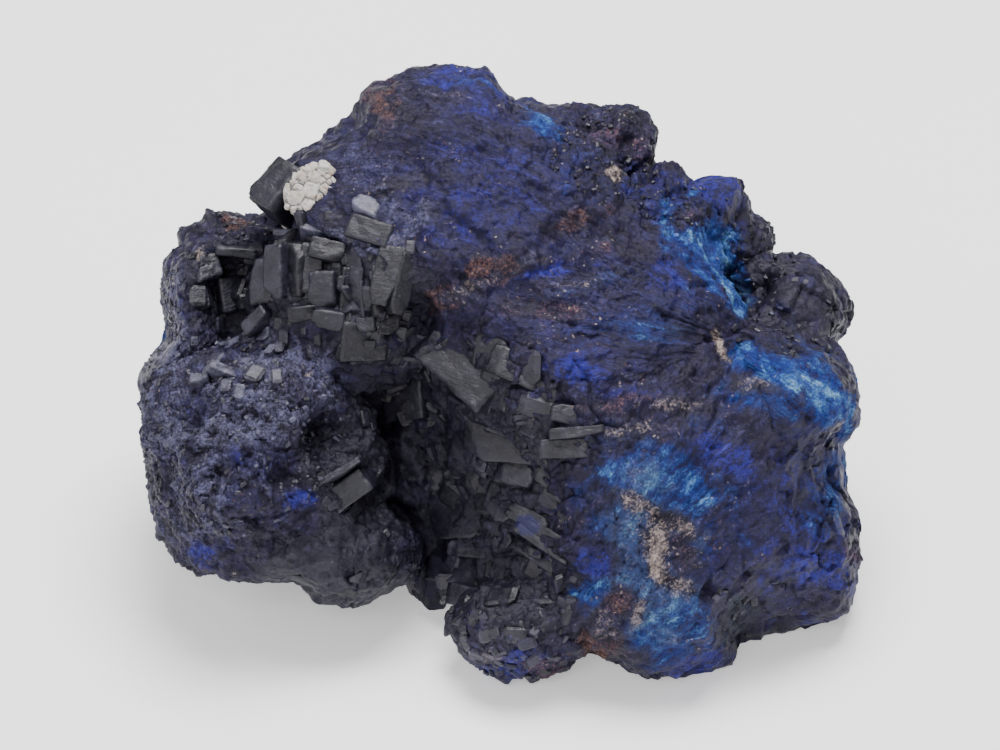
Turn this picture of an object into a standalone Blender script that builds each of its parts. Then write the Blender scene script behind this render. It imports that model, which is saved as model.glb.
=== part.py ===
"""Azurite specimen: a hand-sized cluster of azurite lobes and blocky crystals, grown together as one piece.

Sizes are in millimetres, and MM turns them into metres where a mesh is made. Everything is placed in
the display frame: a runs to the right, b up and c out towards the front. stand() leans that frame back
by DISPLAY_TILT, so that the cluster rests on the feet under it, with +Z up and the front facing -Y.
"""

from dataclasses import dataclass

import bmesh
import bpy
import numpy as np
from mathutils import Matrix, Vector

MM = 0.001
DISPLAY_TILT = 35.0  # degrees between the display frame's b axis and the upright
REST_DEPTH = 25.2  # how far under the display frame's centre the cluster is cut off flat
FOOTPRINT_SHIFT = (0.0, -5.5)  # brings the middle of the footprint to the origin

CELL = 3.0  # length of a grid cell on a lobe
EDGE_POWER = 16  # how tightly a lobe's flats meet: higher is sharper
FILLET = 6.0  # how near two lobes are when each starts to swell towards the other
SWELL_WAVE = 11.0  # the broad unevenness of the whole cluster
SWELL_RISE = 0.9
KNOB_WAVE = 4.2
KNOB_RISE = 0.6


@dataclass(frozen=True)
class Flat:
    """A flat side of a lobe: the direction it faces and a point on it."""

    facing: tuple
    through: tuple


@dataclass(frozen=True)
class Lobe:
    """A lump with flat sides, reached along straight lines from its centre."""

    name: str
    centre: tuple
    radii: tuple
    lean: float = 0.0  # degrees anticlockwise, seen from the front
    flats: tuple = ()
    chips: int = 7  # small flats all round, at seeded places
    chip_depth: float = 0.1  # how deep they cut, as a share of the reach
    seed: int = 1
    knobs: float = 1.0  # how knobbly it is, beside the rest


PROW = (10.5, -5, 15.5)  # the corner that stands furthest forward

LOBES = (
    Lobe(
        "block", (14, -12, -5), (23, 18, 21), 0,
        (
            Flat((0.05, 0.66, 0.75), PROW),
            Flat((-0.74, -0.14, 0.66), PROW),
            Flat((0.32, -0.16, 0.93), PROW),
            Flat((0.85, -0.42, 0.30), (28, -18, 1)),
            Flat((-0.50, -0.80, 0.33), (-3, -24, 2)),
            Flat((0.05, -0.98, 0.20), (14, -29.5, 2)),
        ),
        12, 0.12, 3, 0.9,
    ),
    Lobe(
        "slab", (9, 4, -4), (17, 13, 15), 8,
        (Flat((0.02, 0.50, 0.87), (10, 4, 9.5)), Flat((0.93, 0.3, 0.2), (24, 9, 0))),
        8, 0.1, 31, 0.7,
    ),
    Lobe(
        "dome", (-4, 15, -8), (20, 16, 16), 16,
        (
            Flat((-0.15, 0.30, 0.94), (-5, 14, 7.5)),
            Flat((-0.70, 0.70, 0.10), (-18.5, 23.5, -6)),
            Flat((0.66, 0.72, 0.20), (7, 26.0, -6)),
        ),
        12, 0.12, 5,
    ),
    Lobe("dome_cap", (-6, 26.0, -8), (8, 5.6, 8), -4, (), 9, 0.14, 6),
    Lobe("shelf", (-16, 8, -3), (9.5, 10, 9), 0, (Flat((-0.1, 0.3, 0.95), (-16, 9, 4)),), 7, 0.1, 7),
    Lobe(
        "left_lobe", (-24, -8.5, -4), (12.5, 12.3, 14), 20,
        (Flat((-0.15, 0.45, 0.88), (-25, -2, 8)), Flat((0.2, -0.35, 0.92), (-22, -14, 8))),
        14, 0.12, 8, 1.8,
    ),
    Lobe("rim_left", (-32.3, 6, -9), (3.4, 12, 9), 3, (), 9, 0.12, 9, 1.6),
    Lobe("rim_top", (-28, 14.4, -10), (6.5, 3.4, 8), -4, (), 9, 0.12, 29, 1.6),
    Lobe("recess_floor", (-25, 6, -17), (10, 11, 10), 0, (), 9, 0.12, 30, 1.6),
    Lobe("neck", (-10, -6, -15), (11, 17, 11), 0, (), 7, 0.1, 10),
    Lobe("fan_left", (-18, -17.5, -3), (5.6, 5.6, 8), -25, (), 5, 0.05, 11),
    Lobe("fan_right", (-13.4, -18.8, -4), (4.4, 5.0, 7), 10, (), 5, 0.05, 12),
    Lobe("toe", (2, -26.4, 1), (6.8, 4.8, 7), -8, (), 7, 0.1, 13),
    Lobe("right_foot", (29, -15, -7), (8, 12, 13), -4, (), 12, 0.16, 14),
    Lobe("shoulder", (28.5, -2, -4), (7.6, 7.6, 12), 0, (), 10, 0.14, 15, 1.2),
    Lobe("boss_low", (29.5, 6.5, -9), (6.2, 6.0, 9), 0, (), 12, 0.16, 16),
    Lobe("boss_back", (24.5, 12.0, -12), (4.4, 4.4, 7), 0, (), 10, 0.16, 17, 1.6),
    Lobe("boss_round", (22.2, 15.6, -9), (4.0, 4.8, 6), 0, (), 10, 0.16, 18, 1.6),
    Lobe("boss_wide", (16.0, 15.8, -7), (6.0, 6.0, 7), 0, (), 10, 0.16, 19, 1.6),
    Lobe("boss_top", (10.4, 21.6, -10), (6.4, 6.0, 7), 0, (), 10, 0.16, 20, 1.6),
    Lobe("core", (3, 0, -15), (29, 21, 13), 6, (), 18, 0.2, 21, 1.4),
    Lobe("rear_left", (-14, -4, -22), (13, 12, 11), 0, (), 14, 0.18, 22, 1.6),
    Lobe("rear_right", (17, -5, -22), (14, 13, 11), 0, (), 14, 0.18, 23, 1.6),
    Lobe("rear_top", (2, 11, -20), (16, 11, 10), 0, (), 14, 0.18, 24, 1.6),
)


@dataclass(frozen=True)
class Block:
    """A flat-sided crystal or plate that stands a little proud of the front of the lobes."""

    place: tuple  # its middle, along a and b
    size: tuple  # across, tall and out
    turn: float = 0.0  # degrees that its front is turned to the right
    nod: float = 0.0  # degrees that its front is tipped upwards
    lean: float = 0.0  # degrees anticlockwise, seen from the front
    proud: float = 1.2  # how far its front stands out of the lobes
    slant: float = 0.0  # how far its top drops towards the front


PRISMS = (  # the upright prisms over the shelf, and the facets beside them
    Block((-21.4, 10.5), (2.8, 5.8, 6.0), -40, 2, 2, 2.0, 0.6),
    Block((-19.2, 10.2), (3.2, 6.0, 7.0), 24, 0, -2, 2.1, 0.5),
    Block((-17.1, 11.8), (3.8, 3.8, 7.0), -12, 16, -12, 2.3, 0.8),
    Block((-16.8, 8.4), (3.8, 4.8, 7.0), 10, -4, -3, 2.0, 0.4),
    Block((-13.4, 9.0), (3.0, 8.8, 7.0), -26, 0, 2, 2.0, 0.8),
    Block((-10.6, 9.0), (4.2, 7.6, 7.0), 22, 4, -14, 1.8, 1.0),
    Block((-12.8, 15.2), (4.2, 4.8, 6.0), -18, 10, -18, 1.2, 0.8),
    Block((-16.8, 5.8), (2.8, 2.2, 5.0), -6, -16, -10, 1.8, 0.2),
    Block((-19.6, 6.2), (3.0, 2.4, 5.0), 14, -10, 12, 1.4, 0.3),
    Block((-13.6, 3.6), (4.0, 4.4, 6.0), 16, -8, -4, 1.2, 0.4),
    Block((-21.8, 18.2), (2.8, 4.8, 6.0), -35, 8, -30, 1.0, 0.3),
    Block((-16.8, 14.8), (4.2, 1.8, 5.0), -10, 30, -14, 1.6, 0.3),
)
RECESS_CRYSTALS = (
    Block((-23.8, 5.4), (3.2, 2.0, 4.0), -24, 24, 42, 1.6, 0.3),
    Block((-25.0, 3.4), (2.0, 2.0, 4.0), 20, 18, 20, 1.4, 0.3),
    Block((-27.8, 0.2), (3.0, 1.2, 3.0), 10, 34, -24, 1.2, 0.2),
    Block((-27.0, 8.4), (3.6, 4.4, 5.0), 30, 4, 6, 1.2, 0.8),
    Block((-23.3, 9.4), (3.6, 5.6, 5.0), -20, 2, -2, 1.0, 0.8),
    Block((-29.6, 10.8), (2.8, 3.4, 4.0), 24, 12, 10, 1.0, 0.6),
    Block((-26.4, 12.6), (4.2, 1.6, 4.0), 0, -20, -4, 1.2, 0.3),
)
LEDGES = (  # facets and stacked plates down the prow and the wall to the left of it
    Block((-9.8, 0.4), (4.6, 8.8, 5.0), -30, 4, 8, 1.2, 0.6),
    Block((-3.8, 1.2), (8.6, 4.8, 4.0), -26, 8, -42, 0.9, 0.5),
    Block((1.6, 1.0), (5.0, 3.0, 3.0), -10, 16, -24, 0.6, 0.4),
    Block((-5.3, -5.8), (4.4, 6.0, 4.0), -30, -4, 2, 1.3, 0.8),
    Block((0.6, -6.2), (8.0, 4.6, 3.2), -20, 6, -4, 1.3, 0.3),
    Block((3.7, -3.9), (4.4, 2.0, 3.0), -12, 8, 12, 1.1, 0.2),
    Block((6.6, -3.9), (2.6, 2.0, 3.0), -4, 16, -6, 1.2, 0.2),
    Block((7.6, -5.6), (5.6, 1.3, 3.0), -8, 4, 4, 0.8, 0.2),
    Block((6.4, -7.2), (4.4, 1.8, 3.0), -14, 4, 2, 1.1, 0.2),
    Block((1.8, -9.6), (4.4, 2.6, 3.0), -26, 12, -12, 1.1, 0.4),
    Block((-4.5, -9.7), (2.3, 2.0, 3.0), -30, 20, -6, 1.2, 0.2),
    Block((-2.2, -10.2), (2.4, 3.4, 3.2), -36, 2, 0, 1.0, 0.6),
    Block((-4.2, -13.4), (6.8, 5.2, 4.0), -40, 2, 4, 1.2, 0.8),
    Block((0.4, -12.6), (3.8, 3.6, 3.0), -36, 6, -14, 0.9, 0.4),
    Block((-5.9, -17.2), (4.4, 2.8, 3.0), -46, 4, -3, 1.1, 0.3),
    Block((-2.3, -17.0), (4.0, 2.4, 3.0), -40, 8, -6, 1.1, 0.3),
    Block((-4.3, -19.6), (6.6, 2.4, 3.0), -44, 4, -8, 1.0, 0.3),
    Block((2.6, -13.8), (6.4, 1.2, 3.0), -30, 8, -30, 1.0, 0.1),
    Block((3.6, -15.2), (7.6, 1.2, 3.2), -28, 6, -32, 1.3, 0.1),
    Block((4.4, -16.8), (7.4, 1.3, 3.2), -28, 2, -34, 1.1, 0.1),
    Block((3.4, -18.0), (6.4, 1.2, 3.0), -30, 0, -34, 0.9, 0.1),
    Block((-2.6, -22.2), (5.8, 2.2, 3.0), -42, 0, -12, 0.9, 0.3),
    Block((1.6, -21.4), (4.6, 2.8, 3.0), -36, -6, -18, 0.9, 0.3),
)
FAN_BLADES = (  # blades beside the hollow in the left lobe, and the spread plates of the fans under it
    Block((-15.8, -10.2), (6.4, 0.8, 3.0), 0, 10, 27, 0.9, 0.1),
    Block((-15.2, -12.2), (6.2, 2.4, 3.0), -10, 0, 30, 0.9, 0.3),
    Block((-20.6, -17.4), (7.0, 1.5, 4.0), -20, -10, 28, 1.0, 0.2),
    Block((-18.4, -18.8), (8.0, 1.5, 4.0), -10, -16, 8, 1.3, 0.2),
    Block((-17.6, -20.8), (7.0, 1.4, 4.0), 0, -24, -12, 1.0, 0.2),
    Block((-12.8, -17.2), (5.0, 1.4, 4.0), 15, -8, 50, 0.9, 0.2),
    Block((-12.6, -19.4), (5.6, 1.4, 4.0), 15, -14, 28, 1.1, 0.2),
)
CRUST_LUMPS = (  # the pale knobbly crust over the shelf: (a, b, radius)
    (-18.8, 19.0, 1.7), (-17.8, 19.8, 1.1), (-20.7, 16.3, 1.4), (-19.6, 17.6, 1.5), (-19.6, 19.6, 1.0),
)
PITS = (  # open hollows in the lobes: (a, b, radius)
    (-17.4, -6.2, 2.4), (-22.2, -10.4, 1.3), (-9.6, -8.5, 3.2), (14.6, 19.4, 1.2), (24.6, 8.6, 2.6),
)

# The outline seen from the front: (degrees anticlockwise from a, reach from the centre). It runs
# through the crests and notches, and between them it eases from one to the next.
OUTLINE = (
    (0, 35.6), (6, 34.3), (9, 35.6), (12, 35.7), (18, 34.6), (21, 33.2), (24, 30.2), (27, 30.9),
    (33, 30.4), (36, 31.0), (39, 31.2), (42, 30.0), (45, 27.7), (51, 27.7), (54, 26.6), (57, 29.2),
    (60, 30.0), (63, 30.4), (70, 29.1), (78, 28.0), (87, 27.8), (90, 29.2), (93, 31.0), (99, 31.5),
    (106, 31.9), (111, 31.5), (115, 31.9), (120, 30.5), (130, 30.0), (136, 30.4), (141, 30.3),
    (146, 29.3), (148, 30.0), (150, 33.0), (156, 35.1), (162, 35.0), (171, 33.9), (174, 34.1),
    (177, 35.2), (180, 36.0), (190, 36.5), (198, 37.1), (207, 37.8), (210, 37.4), (213, 36.0),
    (219, 32.6), (225, 29.4), (231, 29.0), (240, 26.8), (243, 23.8), (246, 23.5), (252, 24.8),
    (258, 26.5), (264, 29.2), (270, 30.4), (279, 30.6), (285, 29.5), (288, 29.6), (294, 33.0),
    (300, 35.4), (309, 37.0), (312, 36.1), (315, 37.3), (321, 40.2), (326, 42.0), (333, 40.4),
    (339, 38.4), (342, 36.5), (348, 35.4), (354, 36.1),
)
OUTLINE_BINS = 120
OUTLINE_HOLD = 0.5  # inside this share of the reach nothing is drawn to the outline
OUTLINE_GRID = 40  # cells along a cube side when the lobes' own outline is measured

DEPTH_RANGE = (-30.0, 26.0)  # where the front of the lobes is looked for, along c
DEPTH_STEP = 0.25
PLACE_ROUNDS = 6  # rounds that find where a place was before it was drawn to the outline
LUMP_SUBDIVISIONS = 1
GROUND_HALF = 60.0  # half the side of the box that cuts the base flat

STONE_COLOUR = (0.012, 0.017, 0.085, 1.0)
STONE_ROUGHNESS = 0.45


# ---------------------------------------------------------------- numbers from places


def unit(vectors):
    """Scales each vector to a length of one."""
    vectors = np.asarray(vectors, float)
    return vectors / np.linalg.norm(vectors, axis=-1, keepdims=True)


def smooth(share):
    """Eases from 0 to 1 as share does, and holds outside that range."""
    share = np.clip(share, 0, 1)
    return share * share * (3 - 2 * share)


def scatter(corners, seed):
    """A value from 0 to 1 for each whole-numbered corner, mixed so that neighbours are unlike."""
    word = (corners[:, 0] * 374761393 + corners[:, 1] * 668265263 + corners[:, 2] * 1274126177 + seed * 974711)
    for shift, factor in ((13, 1274126177), (16, 2246822519), (15, 3266489917)):
        word = ((word ^ (word >> shift)) * factor) & 0xFFFFFFFF
    return word / 0xFFFFFFFF


def noise(points, seed):
    """A smooth value from -1 to 1 that changes over a distance of one."""
    corner = np.floor(points).astype(np.int64)
    share = smooth(points - corner)
    total = np.zeros(len(points))
    for step in np.ndindex(2, 2, 2):
        weight = np.prod(np.where(step, share, 1 - share), axis=1)
        total += weight * scatter(corner + step, seed)
    return total * 2 - 1


# ---------------------------------------------------------------- the lobes' form


def turned(vectors, degrees):
    """Turns vectors about c, clockwise seen from the front."""
    angle = np.radians(degrees)
    matrix = np.array(((np.cos(angle), np.sin(angle), 0), (-np.sin(angle), np.cos(angle), 0), (0, 0, 1)))
    return vectors @ matrix.T


def reach(lobe, directions):
    """How far a lobe extends along each direction: its rounded body, cut by its flats and chips."""
    body = np.linalg.norm(turned(directions, lobe.lean) / lobe.radii, axis=1)
    total = body**EDGE_POWER
    for flat in lobe.flats:
        facing = unit(flat.facing)
        depth = facing @ (np.array(flat.through, float) - lobe.centre)
        total += (np.maximum(directions @ facing, 0) / depth) ** EDGE_POWER
    chance = np.random.default_rng(lobe.seed)
    for facing in unit(chance.normal(size=(lobe.chips, 3))):
        depth = np.linalg.norm(turned(facing, lobe.lean) * lobe.radii) * (1 - lobe.chip_depth * chance.random())
        total += (np.maximum(directions @ facing, 0) / depth) ** EDGE_POWER
    return total ** (-1 / EDGE_POWER)


def gap(lobe, points):
    """How far points are outside a lobe, negative inside it."""
    offset = points - lobe.centre
    distance = np.linalg.norm(offset, axis=1)
    return distance - reach(lobe, offset / np.maximum(distance, 1e-6)[:, None])


def lobe_points(lobe, directions):
    """Points on a lobe, swollen where it grows into the others and uneven all over."""
    points = lobe.centre + directions * reach(lobe, directions)[:, None]
    rise = np.zeros(len(points))
    for other in LOBES:
        if other is not lobe:
            nearness = np.maximum(1 - np.abs(gap(other, points)) / FILLET, 0)
            rise = np.maximum(rise, FILLET / 4 * nearness**2)
    rise += SWELL_RISE * noise(points / SWELL_WAVE, 2)
    rise += KNOB_RISE * lobe.knobs * noise(points / KNOB_WAVE, 9)
    return points + directions * rise[:, None]


def polar(points):
    """The angle from a, from 0 to a full turn, and the distance from the centre, seen from the front."""
    return np.arctan2(points[:, 1], points[:, 0]) % (2 * np.pi), np.hypot(points[:, 0], points[:, 1])


def cube_directions(cells):
    """Even directions all round, from the faces of a cube cut into cells."""
    steps = np.tan(np.linspace(-np.pi / 4, np.pi / 4, cells + 1))
    u, v = (grid.ravel() for grid in np.meshgrid(steps, steps))
    sides = [np.roll(np.stack((np.full_like(u, side), u, v), 1), axis, 1) for axis in range(3) for side in (-1, 1)]
    return unit(np.concatenate(sides))


def own_outline():
    """The reach of the lobes themselves in each bin of angle, seen from the front."""
    directions = cube_directions(OUTLINE_GRID)
    angle, distance = polar(np.concatenate([lobe_points(lobe, directions) for lobe in LOBES]))
    limb = np.zeros(OUTLINE_BINS)
    np.maximum.at(limb, (angle / (2 * np.pi) * OUTLINE_BINS).astype(int) % OUTLINE_BINS, distance)
    return limb


def drawn_to_outline(points, limb):
    """Draws the rim of the lobes in or out until it lies on OUTLINE, and leaves the middle alone."""
    angle, distance = polar(points)
    middles = (np.arange(OUTLINE_BINS) + 0.5) / OUTLINE_BINS * 2 * np.pi
    own = np.interp(angle, middles, limb, period=2 * np.pi)
    wanted = np.interp(angle, np.radians([at for at, _ in OUTLINE]), [far for _, far in OUTLINE], period=2 * np.pi)
    pull = smooth((distance / own - OUTLINE_HOLD) / (1 - OUTLINE_HOLD))
    scale = 1 + (wanted / own - 1) * pull
    return points * np.stack((scale, scale, np.ones_like(scale)), 1)


def stand(points):
    """Takes display-frame millimetres to the upright frame in metres, before the bottom is cut off."""
    tilt = np.radians(DISPLAY_TILT)
    across, up, out = np.asarray(points, float).T
    back = up * np.sin(tilt) - out * np.cos(tilt)
    height = up * np.cos(tilt) + out * np.sin(tilt) + REST_DEPTH
    return np.stack((across + FOOTPRINT_SHIFT[0], back + FOOTPRINT_SHIFT[1], height), 1) * MM


def front_of(place, limb):
    """The front-most point of the lobes, as drawn to the outline, at a place along a and b."""
    wanted = np.array((*place, 0.0))
    before = wanted.copy()
    for _ in range(PLACE_ROUNDS):
        before += wanted - drawn_to_outline(before[None], limb)[0]
    depths = np.arange(DEPTH_RANGE[1], DEPTH_RANGE[0], -DEPTH_STEP)
    column = np.column_stack((np.full_like(depths, before[0]), np.full_like(depths, before[1]), depths))
    gaps = np.min([gap(lobe, column) for lobe in LOBES], axis=0)
    first = np.argmax(gaps < 0) if (gaps < 0).any() else np.argmin(gaps)
    return wanted + (0, 0, depths[first])


# ---------------------------------------------------------------- Blender's meshes


def clear_scene():
    """Empties the scene."""
    for old in list(bpy.data.objects):
        bpy.data.objects.remove(old, do_unlink=True)


def stone_material():
    """The dark blue, half-matt finish of the whole cluster."""
    material = bpy.data.materials.new("azurite")
    material.use_nodes = True
    shader = material.node_tree.nodes["Principled BSDF"]
    shader.inputs["Base Color"].default_value = STONE_COLOUR
    shader.inputs["Roughness"].default_value = STONE_ROUGHNESS
    shader.inputs["Metallic"].default_value = 0.0
    return material


def new_object(name, shape, collection, material):
    """Turns a bmesh into an object of one material, in a collection."""
    bmesh.ops.triangulate(shape, faces=shape.faces[:])
    mesh = bpy.data.meshes.new(name)
    shape.to_mesh(mesh)
    shape.free()
    mesh.materials.append(material)
    made = bpy.data.objects.new(name, mesh)
    collection.objects.link(made)
    return made


def placed(shape, to_place):
    """Moves each corner of a bmesh to where to_place takes it."""
    corners = np.array([corner.co for corner in shape.verts])
    for corner, target in zip(shape.verts, to_place(corners)):
        corner.co = target
    return shape


def lobe_shape(lobe, limb):
    """A lobe: a cube cut into cells, whose corners go out to the lobe's reach."""
    cells = max(4, round(np.pi / 2 * np.mean(lobe.radii) / CELL))
    shape = bmesh.new()
    bmesh.ops.create_cube(shape, size=2.0)
    bmesh.ops.subdivide_edges(shape, edges=shape.edges[:], cuts=cells - 1, use_grid_fill=True)

    def to_place(corners):
        directions = unit(np.tan(corners * np.pi / 4))
        return stand(drawn_to_outline(lobe_points(lobe, directions), limb))

    return placed(shape, to_place)


def block_shape(block, front):
    """A crystal: a box whose top slants to the front, turned, and sunk into the lobes."""
    shape = bmesh.new()
    bmesh.ops.create_cube(shape, size=1.0)
    turn = (
        Matrix.Rotation(np.radians(block.lean), 3, "Z")
        @ Matrix.Rotation(np.radians(block.turn), 3, "Y")
        @ Matrix.Rotation(np.radians(-block.nod), 3, "X")
    )
    outward = np.array(turn @ Vector((0, 0, 1)))
    middle = front + outward * (block.proud - block.size[2] / 2)

    def to_place(corners):
        sized = corners * block.size
        sized[:, 1] -= block.slant * ((corners[:, 1] > 0) & (corners[:, 2] > 0))
        return stand(middle + sized @ np.array(turn).T)

    return placed(shape, to_place)


def ball_shape(middle, radius):
    """A small lump or pit."""
    shape = bmesh.new()
    bmesh.ops.create_icosphere(shape, subdivisions=LUMP_SUBDIVISIONS, radius=radius)
    return placed(shape, lambda corners: stand(middle + corners))


def ground_shape():
    """What is cut away below the plane that the cluster rests on."""
    shape = bmesh.new()
    bmesh.ops.create_cube(shape, size=2 * GROUND_HALF * MM)
    bmesh.ops.translate(shape, verts=shape.verts[:], vec=(0, 0, -GROUND_HALF * MM))
    return shape


def helper_collection(name):
    """A collection of shapes that a Boolean uses and that aren't shown themselves."""
    helpers = bpy.data.collections.new(name)
    bpy.context.scene.collection.children.link(helpers)
    helpers.hide_render = True
    return helpers


def hide_helpers(helpers):
    """Draws the shapes of a helper collection as wires, and leaves them out of a render."""
    for helper in helpers.objects:
        helper.hide_render = True
        helper.display_type = "WIRE"


def grow_together(stone, growths):
    """Joins a collection of shapes to the stone."""
    modifier = stone.modifiers.new("grow together", "BOOLEAN")
    modifier.operation = "UNION"
    modifier.operand_type = "COLLECTION"
    modifier.collection = growths
    modifier.solver = "EXACT"
    modifier.use_self = True


def cut_away(stone, cutter):
    """Takes a shape away from the stone."""
    modifier = stone.modifiers.new(cutter.name, "BOOLEAN")
    modifier.operation = "DIFFERENCE"
    modifier.object = cutter
    modifier.solver = "EXACT"


def build():
    """Grows the cluster as one solid, and cuts it off flat where it rests."""
    clear_scene()
    material = stone_material()
    limb = own_outline()
    growths = helper_collection("growths")
    cutters = helper_collection("cutters")
    for lobe in LOBES[1:]:
        new_object(lobe.name, lobe_shape(lobe, limb), growths, material)
    blocks = PRISMS + RECESS_CRYSTALS + LEDGES + FAN_BLADES
    for number, block in enumerate(blocks, 1):
        front = front_of(block.place, limb)
        new_object(f"crystal_{number:02d}", block_shape(block, front), growths, material)
    for number, (a, b, radius) in enumerate(CRUST_LUMPS, 1):
        new_object(f"crust_{number}", ball_shape(front_of((a, b), limb), radius), growths, material)
    for number, (a, b, radius) in enumerate(PITS, 1):
        new_object(f"pit_{number}", ball_shape(front_of((a, b), limb), radius), cutters, material)
    new_object("ground", ground_shape(), cutters, material)
    stone = new_object("azurite_specimen", lobe_shape(LOBES[0], limb), bpy.context.scene.collection, material)
    grow_together(stone, growths)
    for cutter in cutters.objects:
        cut_away(stone, cutter)
    hide_helpers(growths)
    hide_helpers(cutters)


build()
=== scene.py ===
"""The finished look of the azurite specimen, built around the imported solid.

The stone is a cluster of lobes, each one a closed surface worked out on the six faces of a cube: a
direction goes out from the lobe's centre to its reach, swells where lobes grow together, is drawn to
the outline, and gets its relief of fibres, druses, glassy facets and stepped ledges. Crystals,
plates and the pale crust are set on the lobes. Places are in millimetres in the display frame, where
a runs to the right, b up and c out towards the front; Stance.stand takes them to metres, +Z up.
"""

from __future__ import annotations

import logging
from dataclasses import dataclass, field, fields
from enum import Enum
from functools import reduce

import bpy
import numpy as np
from mathutils import Matrix


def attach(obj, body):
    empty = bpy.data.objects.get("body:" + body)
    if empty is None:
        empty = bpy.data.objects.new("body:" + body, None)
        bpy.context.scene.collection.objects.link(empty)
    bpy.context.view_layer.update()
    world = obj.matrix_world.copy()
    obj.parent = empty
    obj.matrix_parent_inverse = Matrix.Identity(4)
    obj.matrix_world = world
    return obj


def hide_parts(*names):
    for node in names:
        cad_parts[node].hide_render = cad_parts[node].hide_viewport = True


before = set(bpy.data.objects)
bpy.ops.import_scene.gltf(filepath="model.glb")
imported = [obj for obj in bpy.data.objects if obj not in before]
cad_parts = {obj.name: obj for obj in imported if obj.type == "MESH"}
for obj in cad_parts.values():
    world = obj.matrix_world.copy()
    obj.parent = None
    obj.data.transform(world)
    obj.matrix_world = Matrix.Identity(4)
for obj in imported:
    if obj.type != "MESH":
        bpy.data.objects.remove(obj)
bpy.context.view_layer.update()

log = logging.getLogger("azurite_specimen")

NODE = "azurite_specimen"
BODY = "root"
MM = 0.001
WORD_MASK = 0xFFFFFFFF
HASH_FACTORS = (374761393, 668265263, 1274126177, 974711)  # for the three coordinates and the seed
HASH_ROUNDS = ((13, 1274126177), (16, 2246822519), (15, 3266489917))  # shifts and factors

Array = np.ndarray


# ---------------------------------------------------------------- numbers from places


def unit(vectors: Array) -> Array:
    """Scales each vector to a length of one."""
    vectors = np.asarray(vectors, float)
    return vectors / np.maximum(np.linalg.norm(vectors, axis=-1, keepdims=True), 1e-9)


def smooth(share: Array) -> Array:
    """Eases from 0 to 1 as share does, by 3s^2 - 2s^3, and holds outside that range."""
    share = np.clip(share, 0, 1)
    return share * share * (3 - 2 * share)


def hashed(corners: Array, seed: int) -> Array:
    """Mixes each whole-numbered corner into a 32-bit word, unlike its neighbours'.

    Args:
        corners: whole numbers, one corner a row.
        seed: which of many mixes to use.

    Returns:
        One whole number from 0 to 2^32 - 1 for each row.
    """
    first, second, third, last = HASH_FACTORS
    word = corners[:, 0] * first + corners[:, 1] * second + corners[:, 2] * third + seed * last
    for shift, factor in HASH_ROUNDS:
        word = ((word ^ (word >> shift)) * factor) & WORD_MASK
    return word


def noise(points: Array, seed: int) -> Array:
    """A smooth value from -1 to 1 that changes over a distance of one.

    The eight corners of the cell that holds a point each have a mixed value, and the point gets
    their mean, weighted by how near it is to each along the three axes.

    Args:
        points: places, one a row, in units of the noise's own wave.
        seed: which noise.

    Returns:
        One value for each point.
    """
    corner = np.floor(points).astype(np.int64)
    share = smooth(points - corner)
    total = np.zeros(len(points))
    for step in np.ndindex(2, 2, 2):
        weight = np.prod(np.where(step, share, 1 - share), axis=1)
        total += weight * (hashed(corner + step, seed) / WORD_MASK)
    return total * 2 - 1


def fractal(points: Array, wave: float, octaves: int, seed: int, gain: float = 0.5) -> Array:
    """Adds up noise whose wave halves and whose height falls by gain from one octave to the next.

    Args:
        points: places in millimetres.
        wave: the longest wave, in millimetres.
        octaves: how many waves are added.
        seed: which noise.
        gain: the height of each octave beside the one before.

    Returns:
        One value for each point, within about -1 to 1.
    """
    total = np.zeros(len(points))
    for octave in range(octaves):
        total += gain**octave * noise(points * (2.03**octave / wave) + 17.3 * octave, seed + 7 * octave)
    return total / sum(gain**octave for octave in range(octaves))


@dataclass
class Cells:
    """Points sorted into the cells of scattered seeds: each point belongs to its nearest seed."""

    offset: Array  # from the seed to the point
    edge: Array  # how much further the next seed is: 0 on the border between two cells
    chance: Array  # three numbers from 0 to 1 that are the same all over a cell

    TEN_BITS = 1023
    MARGIN = 0.1  # how far a seed keeps from the walls of its grid cell

    @classmethod
    def of(cls, points: Array, seed: int) -> Cells:
        """Finds the nearest and the next nearest seed. Each cell of a unit grid has one.

        Args:
            points: places, one a row, in units of the cell's own size.
            seed: which scatter.

        Returns:
            The cells of all the points.
        """
        corner = np.floor(points).astype(np.int64)
        nearest = np.full(len(points), 9.0)
        second = np.full(len(points), 9.0)
        offset = np.zeros_like(points)
        chance = np.zeros_like(points)
        for step in np.ndindex(3, 3, 3):
            cell = corner + step - 1
            word = hashed(cell, seed)
            jitter = np.stack([(word >> shift) & cls.TEN_BITS for shift in (0, 10, 20)], 1) / cls.TEN_BITS
            apart = points - (cell + cls.MARGIN + (1 - 2 * cls.MARGIN) * jitter)
            distance = np.einsum("ij,ij->i", apart, apart)
            closer = distance < nearest
            second = np.where(closer, nearest, np.minimum(second, distance))
            nearest = np.where(closer, distance, nearest)
            offset[closer] = apart[closer]
            chance[closer] = np.roll(jitter, 1, axis=1)[closer]
        return cls(offset, np.sqrt(second) - np.sqrt(nearest), chance)

    def tilted(self, tilt: float) -> Array:
        """The height of a facet in each cell, which slopes by tilt in the cell's own direction."""
        return tilt * np.einsum("ij,ij->i", self.offset, self.chance * 2 - 1)


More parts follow.
